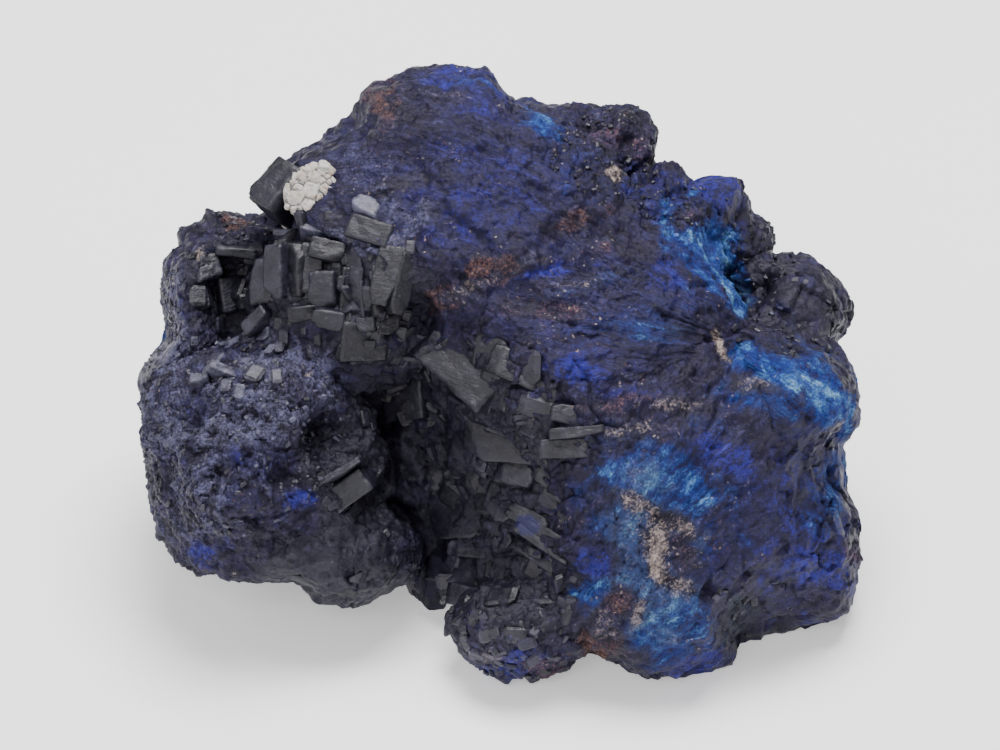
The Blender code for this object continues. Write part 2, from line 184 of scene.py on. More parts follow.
def cube_grid(cells: int, front_pull: float = 0.0) -> tuple[Array, Array]:
    """Even directions all round, from the six faces of a cube, welded along its edges.

    On each face the tangents of even angles give a grid of two parameters. Adding front_pull to the
    direction's last part and scaling it back to one crowds the directions towards +c.

    Args:
        cells: cells along each side of the cube.
        front_pull: from 0, even, to under 1, all at the front.

    Returns:
        The directions, and the four corners of each face, which point outwards.
    """
    steps = np.tan(np.linspace(-np.pi / 4, np.pi / 4, cells + 1))
    u, v = (grid.ravel() for grid in np.meshgrid(steps, steps, indexing="ij"))
    index = np.arange((cells + 1) ** 2).reshape(cells + 1, cells + 1)
    square = np.stack((index[:-1, :-1], index[1:, :-1], index[1:, 1:], index[:-1, 1:]), -1).reshape(-1, 4)
    points = []
    quads = []
    for axis in range(3):
        for side in (1, -1):
            face = np.stack((np.full_like(u, side), u, v * side), 1)
            points.append(np.roll(face, axis, axis=1))
            quads.append(square + len(quads) * (cells + 1) ** 2)
    every = np.concatenate(points)
    _, first, welded = np.unique(np.round(every, 6), axis=0, return_index=True, return_inverse=True)
    directions = unit(every[first]) + (0, 0, front_pull)
    return unit(directions), welded.reshape(-1)[np.concatenate(quads)]


# ---------------------------------------------------------------- the stone's form


@dataclass(frozen=True)
class Stance:
    """How the display frame stands in the room."""

    tilt: float = 35.0  # degrees between the display frame's b axis and the upright
    rest_depth: float = 25.2  # how far under the display frame's centre the base is
    shift: tuple[float, float] = (0.0, -5.5)  # brings the middle of the footprint to the origin

    def stand(self, points: Array) -> Array:
        """Takes display-frame millimetres to the upright frame in metres.

        Args:
            points: places in the display frame, one a row.

        Returns:
            The same places with +Z up, -Y in front and the base at Z = 0.
        """
        angle = np.radians(self.tilt)
        across, up, out = np.asarray(points, float).T
        back = up * np.sin(angle) - out * np.cos(angle)
        height = up * np.cos(angle) + out * np.sin(angle) + self.rest_depth
        return np.stack((across + self.shift[0], back + self.shift[1], height), 1) * MM


@dataclass(frozen=True)
class Flat:
    """A flat side of a lobe: the direction it faces and a point on it."""

    facing: tuple[float, float, float]
    through: tuple[float, float, float]


class Texture(Enum):
    """The kinds of relief that the stone's skin has."""

    FIBRES = 0
    DRUSE = 1
    FACETS = 2
    LEDGES = 3


class Flow(Enum):
    """How the fibres of a lobe run, seen from the front."""

    ARC = "round a centre"
    FAN = "away from a centre"
    FALL = "down, with a slight lean"


@dataclass(frozen=True)
class Lobe:
    """A lump with flat sides, reached along straight lines from its centre."""

    name: str
    centre: tuple[float, float, float]
    radii: tuple[float, float, float]
    lean: float = 0.0  # degrees anticlockwise, seen from the front
    flats: tuple[Flat, ...] = ()
    chips: int = 7  # small flats all round, at seeded places
    chip_depth: float = 0.1  # how deep they cut, as a share of the reach
    seed: int = 1
    knobs: float = 1.0  # how knobbly it is, beside the rest
    skin: tuple[float, float, float, float] = (0.4, 0.4, 0.2, 0.0)  # shares of fibres, druse, facets, ledges
    flow: Flow = Flow.ARC
    source: tuple[float, float] = (0.0, 0.0)  # the centre of the flow, along a and b
    spacing: float = 0.3  # of the grid, in millimetres, on the even side

    EDGE_POWER = 16

    def turned(self, vectors: Array) -> Array:
        """Turns vectors into the lobe's own lean."""
        angle = np.radians(self.lean)
        rows = ((np.cos(angle), np.sin(angle), 0), (-np.sin(angle), np.cos(angle), 0), (0, 0, 1))
        return vectors @ np.array(rows).T

    def sides(self) -> tuple[Array, Array]:
        """The directions that the flats and chips face, and their distances from the centre.

        Returns:
            One direction a row, and one distance for each.
        """
        facings = []
        depths = []
        for flat in self.flats:
            facings.append(unit(flat.facing))
            depths.append(facings[-1] @ (np.array(flat.through, float) - self.centre))
        chance = np.random.default_rng(self.seed)
        for facing in unit(chance.normal(size=(self.chips, 3))):
            facings.append(facing)
            cut = 1 - self.chip_depth * chance.random()
            depths.append(np.linalg.norm(self.turned(facing) * self.radii) * cut)
        return np.array(facings), np.array(depths)

    def reach(self, directions: Array) -> Array:
        """How far the lobe extends along each direction.

        The rounded body's and each side's nearness are raised to a high power, added up, and the
        root of the sum is turned over, so that the nearest limit counts and edges stay crisp.

        Args:
            directions: one unit vector a row.

        Returns:
            One distance for each direction.
        """
        total = np.linalg.norm(self.turned(directions) / self.radii, axis=1) ** self.EDGE_POWER
        facings, depths = self.sides()
        for facing, depth in zip(facings, depths):
            total += (np.maximum(directions @ facing, 0) / depth) ** self.EDGE_POWER
        return total ** (-1 / self.EDGE_POWER)

    def gap(self, points: Array) -> Array:
        """How far points are outside the lobe, negative inside it."""
        apart = points - np.array(self.centre)
        distance = np.linalg.norm(apart, axis=1)
        return distance - self.reach(apart / np.maximum(distance, 1e-6)[:, None])


PROW = (10.5, -5, 15.5)  # the corner that stands furthest forward

FIBROUS = (0.75, 0.15, 0.1, 0.0)
DRUSY = (0.05, 0.75, 0.2, 0.0)
GLASSY = (0.1, 0.2, 0.7, 0.0)
SILKY = (0.8, 0.1, 0.1, 0.0)

LOBES = (
    Lobe(
        "block", (14, -12, -5), (23, 18, 21), 0,
        (
            Flat((0.05, 0.66, 0.75), PROW),
            Flat((-0.74, -0.14, 0.66), PROW),
            Flat((0.32, -0.16, 0.93), PROW),
            Flat((0.85, -0.42, 0.30), (28, -18, 1)),
            Flat((-0.50, -0.80, 0.33), (-3, -24, 2)),
            Flat((0.05, -0.98, 0.20), (14, -29.5, 2)),
        ),
        12, 0.12, 3, 0.9, FIBROUS, Flow.FAN, (-4, -38), 0.28,
    ),
    Lobe(
        "slab", (9, 4, -4), (17, 13, 15), 8,
        (Flat((0.02, 0.50, 0.87), (10, 4, 9.5)), Flat((0.93, 0.3, 0.2), (24, 9, 0))),
        8, 0.1, 31, 0.7, FIBROUS, Flow.FAN, (26, 2), 0.22,
    ),
    Lobe(
        "dome", (-4, 15, -8), (20, 16, 16), 16,
        (
            Flat((-0.15, 0.30, 0.94), (-5, 14, 7.5)),
            Flat((-0.70, 0.70, 0.10), (-18.5, 23.5, -6)),
            Flat((0.66, 0.72, 0.20), (7, 26.0, -6)),
        ),
        12, 0.12, 5, 1.0, FIBROUS, Flow.ARC, (-14, -6), 0.24,
    ),
    Lobe(
        "dome_cap", (-6, 26.0, -8), (8, 5.6, 8), -4, (), 9, 0.14, 6, 1.0,
        FIBROUS, Flow.ARC, (-14, -6), 0.24,
    ),
    Lobe(
        "shelf", (-16, 8, -3), (9.5, 10, 9), 0, (Flat((-0.1, 0.3, 0.95), (-16, 9, 4)),),
        7, 0.1, 7, 1.0, GLASSY, Flow.FALL, (0, 0), 0.24,
    ),
    Lobe(
        "left_lobe", (-24, -8.5, -4), (12.5, 12.3, 14), 20,
        (Flat((-0.15, 0.45, 0.88), (-25, -2, 8)), Flat((0.2, -0.35, 0.92), (-22, -14, 8))),
        14, 0.12, 8, 1.8, DRUSY, Flow.FALL, (0, 0), 0.22,
    ),
    Lobe("rim_left", (-32.3, 6, -9), (3.4, 12, 9), 3, (), 9, 0.12, 9, 1.6, DRUSY, spacing=0.24),
    Lobe("rim_top", (-28, 14.4, -10), (6.5, 3.4, 8), -4, (), 9, 0.12, 29, 1.6, DRUSY, spacing=0.24),
    Lobe("recess_floor", (-25, 6, -14), (10, 11, 10), 0, (), 9, 0.12, 30, 1.6, GLASSY, spacing=0.3),
    Lobe("neck", (-10, -6, -15), (11, 17, 11), 0, (), 7, 0.1, 10, 1.0, GLASSY, spacing=0.34),
    Lobe(
        "fan_left", (-18, -17.5, -3), (5.6, 5.6, 8), -25, (), 5, 0.05, 11, 1.0,
        SILKY, Flow.FAN, (-24, -13), 0.2,
    ),
    Lobe(
        "fan_right", (-13.4, -18.8, -4), (4.4, 5.0, 7), 10, (), 5, 0.05, 12, 1.0,
        SILKY, Flow.FAN, (-16, -24), 0.2,
    ),
    Lobe(
        "toe", (2, -26.4, 1), (6.8, 4.8, 7), -8, (), 7, 0.1, 13, 1.0,
        (0.3, 0.5, 0.2, 0.0), Flow.FAN, (0, -20), 0.2,
    ),
    Lobe(
        "right_foot", (29, -15, -7), (8, 12, 13), -4, (), 12, 0.16, 14, 1.0,
        (0.3, 0.2, 0.5, 0.0), Flow.FAN, (-4, -38), 0.26,
    ),
    Lobe(
        "shoulder", (28.5, -2, -4), (7.6, 7.6, 12), 0, (), 10, 0.14, 15, 1.2,
        FIBROUS, Flow.FAN, (16, 6), 0.22,
    ),
    Lobe("boss_low", (29.5, 6.5, -9), (6.2, 6.0, 9), 0, (), 12, 0.16, 16, 1.0, GLASSY, spacing=0.24),
    Lobe("boss_back", (24.5, 12.0, -12), (4.4, 4.4, 7), 0, (), 10, 0.16, 17, 1.6, DRUSY, spacing=0.24),
    Lobe("boss_round", (22.2, 15.6, -9), (4.0, 4.8, 6), 0, (), 10, 0.16, 18, 1.6, GLASSY, spacing=0.24),
    Lobe("boss_wide", (16.0, 15.8, -7), (6.0, 6.0, 7), 0, (), 10, 0.16, 19, 1.6, DRUSY, spacing=0.24),
    Lobe("boss_top", (10.4, 21.6, -10), (6.4, 6.0, 7), 0, (), 10, 0.16, 20, 1.6, DRUSY, spacing=0.24),
    Lobe("core", (3, 0, -15), (29, 21, 13), 6, (), 18, 0.2, 21, 1.4, DRUSY, spacing=0.4),
    Lobe("rear_left", (-14, -4, -22), (13, 12, 11), 0, (), 14, 0.18, 22, 1.6, DRUSY, spacing=0.34),
    Lobe("rear_right", (17, -5, -22), (14, 13, 11), 0, (), 14, 0.18, 23, 1.6, GLASSY, spacing=0.34),
    Lobe("rear_top", (2, 11, -20), (16, 11, 10), 0, (), 14, 0.18, 24, 1.6, DRUSY, spacing=0.34),
)


@dataclass(frozen=True)
class Outline:
    """The outline seen from the front, and how the lobes' rim is drawn to it."""

    crests: tuple[tuple[float, float], ...] = (  # degrees anticlockwise from a, and reach from the centre
        (0, 35.6), (6, 34.3), (9, 35.6), (12, 35.7), (18, 34.6), (21, 33.2), (24, 30.2), (27, 30.9),
        (33, 30.4), (36, 31.0), (39, 31.2), (42, 30.0), (45, 27.7), (51, 27.7), (54, 26.6), (57, 29.2),
        (60, 30.0), (63, 30.4), (70, 29.1), (78, 28.0), (87, 27.8), (90, 29.2), (93, 31.0), (99, 31.5),
        (106, 31.9), (111, 31.5), (115, 31.9), (120, 30.5), (130, 30.0), (136, 30.4), (141, 30.3),
        (146, 29.3), (148, 30.0), (150, 33.0), (156, 35.1), (162, 35.0), (171, 33.9), (174, 34.1),
        (177, 35.2), (180, 36.0), (190, 36.5), (198, 37.1), (207, 37.8), (210, 37.4), (213, 36.0),
        (219, 32.6), (225, 29.4), (231, 29.0), (240, 26.8), (243, 23.8), (246, 23.5), (252, 24.8),
        (258, 26.5), (264, 29.2), (270, 30.4), (279, 30.6), (285, 29.5), (288, 29.6), (294, 33.0),
        (300, 35.4), (309, 37.0), (312, 36.1), (315, 37.3), (321, 40.2), (326, 42.0), (333, 40.4),
        (339, 38.4), (342, 36.5), (348, 35.4), (354, 36.1),
    )
    bulges: tuple[tuple[float, float, float], ...] = (  # middle and half-width in degrees, and rise
        (20, 22, 0.7), (50, 10, 0.4), (112, 10, 0.4), (148, 5, 1.6), (164, 16, 1.0), (181, 8, 0.8),
        (214, 8, 1.0), (254, 6, 2.0), (296, 9, 1.6), (308, 12, 1.2), (330, 20, 0.4), (352, 10, 0.6),
    )
    bins: int = 120
    hold: float = 0.5  # inside this share of the reach, nothing is drawn to the outline

    def polar(self, points: Array) -> tuple[Array, Array]:
        """The angle from a, from 0 to a full turn, and the distance from the centre, seen from in front."""
        return np.arctan2(points[:, 1], points[:, 0]) % (2 * np.pi), np.hypot(points[:, 0], points[:, 1])

    def limb(self, points: Array) -> Array:
        """The furthest reach of points in each bin of angle.

        Args:
            points: places all over the lobes.

        Returns:
            One reach for each bin.
        """
        angle, distance = self.polar(points)
        reaches = np.zeros(self.bins)
        np.maximum.at(reaches, (angle / (2 * np.pi) * self.bins).astype(int) % self.bins, distance)
        return reaches

    def reach(self, angle: Array) -> Array:
        """The outline's reach, which runs evenly from crest to crest and has an eased hump at each bulge.

        Args:
            angle: the angles from a.

        Returns:
            One reach for each angle.
        """
        angles = np.radians([at for at, _ in self.crests])
        reach = np.interp(angle, angles, [far for _, far in self.crests], period=2 * np.pi)
        for middle, half, rise in self.bulges:
            apart = np.abs((np.degrees(angle) - middle + 180) % 360 - 180)
            reach += rise * smooth(1 - apart / half)
        return reach

    def drawn(self, points: Array, limb: Array) -> Array:
        """Draws the rim in or out until it lies on the outline, and leaves the middle alone.

        A point keeps its angle, and its distance is scaled by wanted reach over own reach, eased in
        from the hold to the rim.

        Args:
            points: places in the display frame.
            limb: the lobes' own reach in each bin of angle.

        Returns:
            The drawn places.
        """
        angle, distance = self.polar(points)
        middles = (np.arange(self.bins) + 0.5) / self.bins * 2 * np.pi
        own = np.interp(angle, middles, limb, period=2 * np.pi)
        pull = smooth((distance / own - self.hold) / (1 - self.hold))
        scale = 1 + (self.reach(angle) / own - 1) * pull
        return points * np.stack((scale, scale, np.ones_like(scale)), 1)


@dataclass
class Form:
    """The bare form that the lobes make together."""

    lobes: tuple[Lobe, ...] = LOBES
    outline: Outline = field(default_factory=Outline)
    stance: Stance = field(default_factory=Stance)
    fillet: float = 6.0  # how near two lobes are when each starts to swell towards the other
    swell_wave: float = 11.0  # the broad unevenness of the whole cluster
    swell_rise: float = 0.9
    knob_wave: float = 4.2
    knob_rise: float = 0.6
    outline_grid: int = 40
    depth_range: tuple[float, float] = (-30.0, 26.0)  # where the front is looked for, along c
    depth_step: float = 0.1
    rounds: int = 6  # of moving a place back to where it was before it was drawn
    limb: Array = field(init=False)

    def __post_init__(self) -> None:
        """Measures the lobes' own outline."""
        directions, _ = cube_grid(self.outline_grid)
        self.limb = self.outline.limb(np.concatenate([self.bare(lobe, directions) for lobe in self.lobes]))

    def bare(self, lobe: Lobe, directions: Array) -> Array:
        """Points on a lobe, swollen where it grows into the others and uneven all over.

        The swelling is a quarter of the fillet times the square of the nearness to the other lobe.

        Args:
            lobe: which lobe.
            directions: unit vectors from its centre, one a row.

        Returns:
            One point for each direction, not yet drawn to the outline.
        """
        points = lobe.centre + directions * lobe.reach(directions)[:, None]
        rise = np.zeros(len(points))
        for other in self.lobes:
            if other is not lobe:
                nearness = np.maximum(1 - np.abs(other.gap(points)) / self.fillet, 0)
                rise = np.maximum(rise, self.fillet / 4 * nearness**2)
        rise += self.swell_rise * noise(points / self.swell_wave, 2)
        rise += self.knob_rise * lobe.knobs * noise(points / self.knob_wave, 9)
        return points + directions * rise[:, None]

    def surface(self, lobe: Lobe, directions: Array) -> Array:
        """Points on a lobe, drawn to the outline."""
        return self.outline.drawn(self.bare(lobe, directions), self.limb)

    def depth_inside(self, lobe: Lobe, points: Array) -> Array:
        """How deep points of one lobe lie under the other lobes, 0 or less where they show."""
        others = [other.gap(points) for other in self.lobes if other is not lobe]
        return -np.min(others, axis=0)

    def front_of(self, place: tuple[float, float]) -> Array:
        """The front-most point of the lobes at a place along a and b.

        The place is first taken back to where it was before it was drawn to the outline, in a few
        rounds of moving it by what is missing. A column of points along c then finds the front.

        Args:
            place: a and b in millimetres.

        Returns:
            The point in the display frame.
        """
        wanted = np.array((*place, 0.0))
        before = wanted.copy()
        for _ in range(self.rounds):
            before += wanted - self.outline.drawn(before[None], self.limb)[0]
        depths = np.arange(self.depth_range[1], self.depth_range[0], -self.depth_step)
        column = np.column_stack((np.full_like(depths, before[0]), np.full_like(depths, before[1]), depths))
        gaps = np.min([lobe.gap(column) for lobe in self.lobes], axis=0)
        first = np.argmax(gaps < 0) if (gaps < 0).any() else np.argmin(gaps)
        return wanted + (0, 0, depths[first])


def normals_of(points: Array, quads: Array) -> Array:
    """Outward directions at the corners of a mesh.

    Each is the mean of the cross products of the diagonals of the faces that meet there.

    Args:
        points: the corners' places.
        quads: the four corners of each face.

    Returns:
        One unit vector for each corner.
    """
    across = np.cross(points[quads[:, 2]] - points[quads[:, 0]], points[quads[:, 3]] - points[quads[:, 1]])
    total = np.zeros_like(points)
    for corner in range(4):
        for part in range(3):
            total[:, part] += np.bincount(quads[:, corner], across[:, part], len(points))
    return unit(total)


# ---------------------------------------------------------------- what is painted on the form


class Mineral(Enum):
    """What a patch of the skin is made of. The value is its column among the mineral shares."""

    ROYAL = 0  # deep ultramarine azurite
    AZURE = 1  # bright, powdery azurite
    GREEN = 2  # a tinge of malachite
    RUST = 3  # iron stain
    CREAM = 4  # pale clay and calcite
    GLASS = 5  # near-black crystal faces; strokes of it down the deep cleft are painted shade
    FROST = 6  # a grey-blue bloom of tiny crystal ends


@dataclass(frozen=True)
class Stroke:
    """An oval patch on the front of the stone, with ragged edges."""

    kind: Mineral | Texture
    place: tuple[float, float]  # its middle, along a and b
    size: tuple[float, float]  # half its length and half its width
    lean: float = 0.0  # degrees anticlockwise, of its length
    strength: float = 1.0
    ragged: float = 0.7

    BACK_START = -15.0  # further back than this, along c, a stroke leaves nothing
    FRONT_START = -7.0  # further forward than this, it leaves all it has
    SPAN = 1.55  # how far a stroke reaches, in half-sizes
    EASE = 1.1  # over how many of them its edge eases off

    def share(self, points: Array, rough: Array) -> Array:
        """How much of the patch there is at each point.

        The distance from the middle, in half-lengths and half-widths, is shifted by the rough
        values, and the share eases off from the middle to well outside the half-sizes.

        Args:
            points: places in the display frame.
            rough: a value from about -1 to 1 for each point.

        Returns:
            From 0 to the stroke's strength for each point.
        """
        angle = np.radians(self.lean)
        across = points[:, 0] - self.place[0]
        up = points[:, 1] - self.place[1]
        along = (across * np.cos(angle) + up * np.sin(angle)) / self.size[0]
        aside = (up * np.cos(angle) - across * np.sin(angle)) / self.size[1]
        inside = smooth((self.SPAN + self.ragged * rough - np.hypot(along, aside)) / self.EASE)
        front = smooth((points[:, 2] - self.BACK_START) / (self.FRONT_START - self.BACK_START))
        return self.strength * inside * front


T = Texture
M = Mineral


def strokes(kind: Mineral | Texture, *rows: tuple[float, ...]) -> tuple[Stroke, ...]:
    """Strokes of one kind: a, b, half length, half width, then lean and strength as far as they're given."""
    return tuple(Stroke(kind, row[:2], row[2:4], *row[4:]) for row in rows)


SKIN_STROKES = (
    *strokes(
        T.LEDGES,
        (-2, -12, 7, 12, 8), (-1, 0, 8, 4.5, -22), (5, -5, 6, 3.4, -8), (4, -16, 4, 6, 18, 0.8),
    ),
    *strokes(T.FACETS, (-5, -20, 4, 6, 0, 0.8), (-16, 9, 8, 7, 0, 0.9), (-17, -12, 4, 4, 0, 0.8)),
    *strokes(T.FIBRES, (-15.6, -19.2, 6.6, 4.4, 0, 0.95)),
    *strokes(T.FACETS, (32, -14, 4.5, 9, 0, 0.7), (24, -22, 4, 5, 0, 0.5)),
    *strokes(T.DRUSE, (-25, -6, 11, 9, 0, 0.8), (10.6, 22, 5.5, 5, 0, 0.9), (17, 17, 5, 3, -20, 0.5)),
    *strokes(T.FACETS, (30, 5, 6, 4.5, 0, 0.4)),
    *strokes(T.DRUSE, (13, -20, 4, 8, 10, 0.55), (22, 11, 4, 4, -60, 0.45)),
    *strokes(T.FACETS, (-4, 16, 8, 4, -20, 0.35)),
)

MINERAL_STROKES = (
    # broad grounds
    *strokes(
        M.ROYAL,
        (-4, 18, 14, 8, 10, 0.5), (12, 6, 13, 6, 5, 0.42), (18, -14, 9, 13, 10, 0.5),
        (-28, -8, 7, 9, 0, 0.3), (31, -14, 4.5, 8, 0, 0.75), (17, 17, 5.5, 3.2, -20, 0.7),
        (-33, 6, 2.2, 6, 0, 0.6), (22, 19, 3.2, 1.8, -40, 0.7),
    ),
    # (-11, -9) runs down the deep cleft, painted shade there; the rest are near-black crystal faces
    *strokes(
        M.GLASS,
        (-4, -2, 7, 4, -30, 0.9), (-2, -14, 5.5, 12, 8, 0.95), (4, -6, 5, 3, -8, 0.85),
        (2, -22, 6, 4, 0, 0.8), (-15, 8.6, 8, 6.4, 0, 1), (-26, 9, 5.6, 6.4, 0, 1),
        (-15.8, -19.4, 6.4, 4.2, 0, 1), (-11, -9, 4, 11, 0, 0.9), (-15.6, -8.4, 4.6, 5, 0, 0.95),
        (12, 24, 4, 2.6, 0, 0.6), (26, 9, 3.4, 3.4, 0, 0.8), (31, 6, 3.4, 3, 0, 0.5),
        (-25, -17, 8, 3.4, -10, 0.3), (-10, 19, 4, 1.2, 30, 0.5), (14, 13, 6, 1.4, -12, 0.35),
    ),
    # bloom
    *strokes(
        M.FROST,
        (-27, -3, 8, 6, 0, 0.9), (-21, -1, 7, 4, -20, 0.95), (-30, -12, 6, 5, 0, 0.6),
        (18, -8, 10, 7, 0, 0.35), (-33.4, 5, 2, 8, 0, 0.7), (-28, 15, 5, 1.4, 0, 0.45),
        (-17, 14.2, 4.5, 1, -4, 0.7), (-12, 15, 2, 3.4, -30, 0.7), (-9, 14, 1.2, 3.4, -24, 0.6),
        (-5, 28.8, 6, 2, 0, 0.45), (-13, 20.6, 5, 3, 30, 0.5), (0, -27, 4, 2.4, 0, 0.4),
        (29, 1, 5, 3, -20, 0.3), (14, -4, 8, 4, 0, 0.3), (8, 8, 11, 4, 5, 0.34),
        (2.6, 11.4, 1.8, 1.2, 20, 0.8),
    ),
    # near-black down the deep cleft beside the left lobe: painted shade
    *strokes(M.GLASS, (-13, -9, 3.8, 9, -4, 1)),
    # bright azure
    *strokes(
        M.AZURE,
        (14.6, -14, 5.8, 8.5, 0, 0.74), (19.5, -10.5, 4.6, 6, 20, 0.5), (28, -0.4, 6.4, 3.8, -10, 0.55),
        (14, 5, 8, 3, -4, 0.3), (10, 20, 7, 4, -30, 0.25), (20, 12, 5, 3.4, -50, 0.52),
        (32, -12, 3, 8, 0, 0.3), (15.4, -25, 6, 4, 0, 0.66),
    ),
    *strokes(M.ROYAL, (32, -19, 4, 3, 0, 0.6), (-3, 29.4, 4.2, 1.9, -8, 1)),
    *strokes(
        M.AZURE,
        (-2, 29.4, 3, 1.2, -8, 0.4), (4.2, 25.4, 2.2, 1.1, -30, 0.75), (22.4, 11.4, 4.6, 1.7, -66, 1),
        (18.6, 14.6, 2.8, 1.5, -25, 0.8), (24, 7.6, 2.6, 1.1, -85, 0.95), (20, 10.6, 2.6, 1.6, -50, 0.6),
        (28, 0.2, 5.4, 1.6, -14, 1), (33, -3, 2.6, 2, -45, 0.85), (23.6, 1.8, 2, 1.2, 20, 0.7),
        (27, -2.6, 3.4, 1, -10, 0.5), (33.8, -9, 1.3, 4, -5, 0.5), (32.4, -14, 2, 3, -5, 0.28),
        (12.6, -9.6, 2.4, 2, 20, 0.65), (16, -11.6, 2.4, 1.6, -10, 0.55), (12, -14, 2, 2, 0, 0.6),
        (16.6, -15.4, 3.8, 1.4, -35, 0.8), (19.6, -12.6, 1.6, 2.8, -20, 0.45),
        (13.8, -19.4, 1.8, 2.6, 8, 0.9), (9.8, -21.6, 2.2, 1.6, 0, 0.75), (17, -22.4, 2, 3, 14, 0.9),
        (14.6, -25.4, 1.8, 1.8, 0, 0.7), (17.4, -28.2, 3.4, 1.3, 8, 0.6), (9, 9.2, 6, 0.9, 12, 0.4),
        (15, 4.4, 5, 0.9, -6, 0.3),
    ),
    *strokes(
        M.ROYAL,
        (4.6, 10.2, 4.4, 0.8, 8, 0.9), (13.4, -2.2, 4.4, 0.9, 2, 0.9), (7, 0.6, 3.4, 1.2, -12, 0.8),
        (22, -8, 3.4, 1.6, -30, 0.8), (9.6, -18.4, 1.6, 1.6, 0, 0.9), (-29.4, -17.6, 2.4, 1, 20, 0.7),
        (-19.8, -12.6, 1.5, 1.1, 12, 1), (-24.6, -8.4, 3.6, 1.6, -10, 0.4), (-30.2, -3.2, 1.6, 1.4, 0, 0.5),
        (2.8, -15, 1.1, 0.8, -30, 1), (2, -28.8, 4.4, 1.4, 5, 0.9), (20, -29, 3.8, 1.4, 8, 0.8),
        (16.6, 10, 2, 1.4, 0, 0.7),
    ),
    *strokes(M.GLASS, (26.8, 9, 2, 3.2, -10, 0.9), (-17.4, -6.2, 1.8, 2.2, 0, 0.9)),
    # tinges of green
    *strokes(
        M.GREEN,
        (23.6, -24, 2, 3, -10, 0.6), (19.6, 4.6, 3.4, 1.2, 10, 0.4), (17.6, -14.6, 2.4, 1.2, 0, 0.4),
        (9.6, 19.6, 1.6, 3, -30, 0.3),
    ),
    # rust
    *strokes(
        M.RUST,
        (-1.2, 10.2, 4.6, 1.5, 18, 0.8), (-5.2, 7.4, 3, 1.5, 28, 0.85), (7.2, 15.2, 3.8, 1.2, 18, 0.7),
        (11, 16.6, 2, 0.9, 20, 0.5), (10.6, 12.8, 1.4, 0.9, 10, 0.6), (4.4, 6.4, 4.4, 1.1, -4, 0.66),
        (13.6, -2.8, 5, 1.2, 4, 0.75), (16, -5.2, 2.4, 1.2, -10, 0.5), (18.8, 15.6, 1.8, 1.1, 10, 0.6),
        (9.8, -26.6, 2.6, 2.2, 10, 0.95), (11.8, -23, 1.8, 1.8, 0, 0.8), (18, -17.6, 1.3, 2.2, 12, 0.75),
        (13.4, -28, 2.4, 1, 0, 0.5), (4.8, -29.2, 2.4, 1.2, 0, 0.65), (10, -12.6, 1.6, 1, 0, 0.5),
        (-12.6, 28.4, 2.8, 1.4, 22, 0.64), (-11.4, 24.4, 1.2, 3.4, -12, 0.5),
        (-9.2, 26.4, 2.6, 1, 10, 0.35), (-26.6, 15.2, 1.8, 1.1, 0, 0.9), (35.4, -17.6, 1.4, 1.4, 0, 0.6),
        (-18.8, 4.6, 1.6, 0.8, 0, 0.4), (-20, -1.6, 2.4, 1.4, 0, 0.4), (21.4, 2.2, 1.4, 2.4, 30, 0.45),
        (12, 23.4, 3.4, 2, -10, 0.55),
    ),
    # cream
    *strokes(
        M.CREAM,
        (15.5, -17.4, 1.1, 2.6, 14, 0.85), (14.8, -17.4, 4.2, 8.4, 8, 0.2), (14, -4.4, 5, 2.2, 4, 0.14),
        (17.6, -14.8, 2.6, 1, -20, 0.7), (17, -20.4, 1.8, 0.8, -20, 0.6), (10.4, -25.2, 1.4, 1.6, 0, 0.5),
        (13.6, -23.8, 0.8, 2, -20, 0.5), (22, 3, 1.7, 0.5, -62, 1), (17, -2.9, 3.6, 0.7, 4, 0.5),
        (-3.4, 8.4, 2.8, 0.8, 24, 0.62), (25.4, -1, 2.6, 0.8, -12, 0.5), (6.4, 8.8, 5, 0.8, 8, 0.42),
        (-4.6, 28, 2.8, 0.8, 0, 0.42), (11.3, 20.2, 0.9, 0.8, 0, 1), (-1, -28.2, 1.8, 1, 0, 0.55),
        (13.6, -5.2, 2.8, 0.7, 8, 0.45), (-30, 12.2, 0.7, 0.7, 0, 0.8), (13.4, -12.6, 2.6, 0.9, -20, 0.6),
        (-27.4, 0.4, 2.6, 0.8, -14, 0.45), (-19, 0.2, 0.6, 0.5, 0, 0.8),
    ),
)


BACK_PATCHES = (  # mineral, wave in millimetres, seed, and the value of the noise where it starts
    (M.ROYAL, 13.0, 61, 0.0), (M.GLASS, 10.0, 62, 0.1), (M.AZURE, 9.0, 63, 0.3), (M.RUST, 7.0, 64, 0.42),
    (M.CREAM, 5.0, 65, 0.5),
)


@dataclass
class Paint:
    """What the skin is made of at each point of a surface, and how its relief is mixed."""

    minerals: Array  # one column for each Mineral
    textures: Array  # one column for each Texture

    @classmethod
    def of(cls, lobe: Lobe, points: Array) -> Paint:
        """Lays the lobe's own skin, then every stroke over it in turn.

        A stroke of share s scales all columns by 1 - s and adds s to its own. On the back, noise
        lays a few patches of its own in place of the strokes.

        Args:
            lobe: the lobe that the points are on.
            points: places in the display frame.

        Returns:
            The shares at each point.
        """
        rough = fractal(points, 2.4, 4, 41, 0.6) * 1.5
        minerals = np.zeros((len(points), len(Mineral)))
        textures = np.tile(np.array(lobe.skin, float), (len(points), 1))
        behind = 1 - smooth((points[:, 2] + 15) / 8)
        for mineral, wave, seed, start in BACK_PATCHES:
            share = 0.8 * behind * smooth((fractal(points, wave, 4, seed, 0.6) * 1.4 - start + 0.12) / 0.45)
            minerals *= 1 - share[:, None]
            minerals[:, mineral.value] += share
        for laid, strokes_laid in ((textures, SKIN_STROKES), (minerals, MINERAL_STROKES)):
            for stroke in strokes_laid:
                share = stroke.share(points, rough)
                laid *= 1 - share[:, None]
                laid[:, stroke.kind.value] += share
        return cls(minerals, textures)


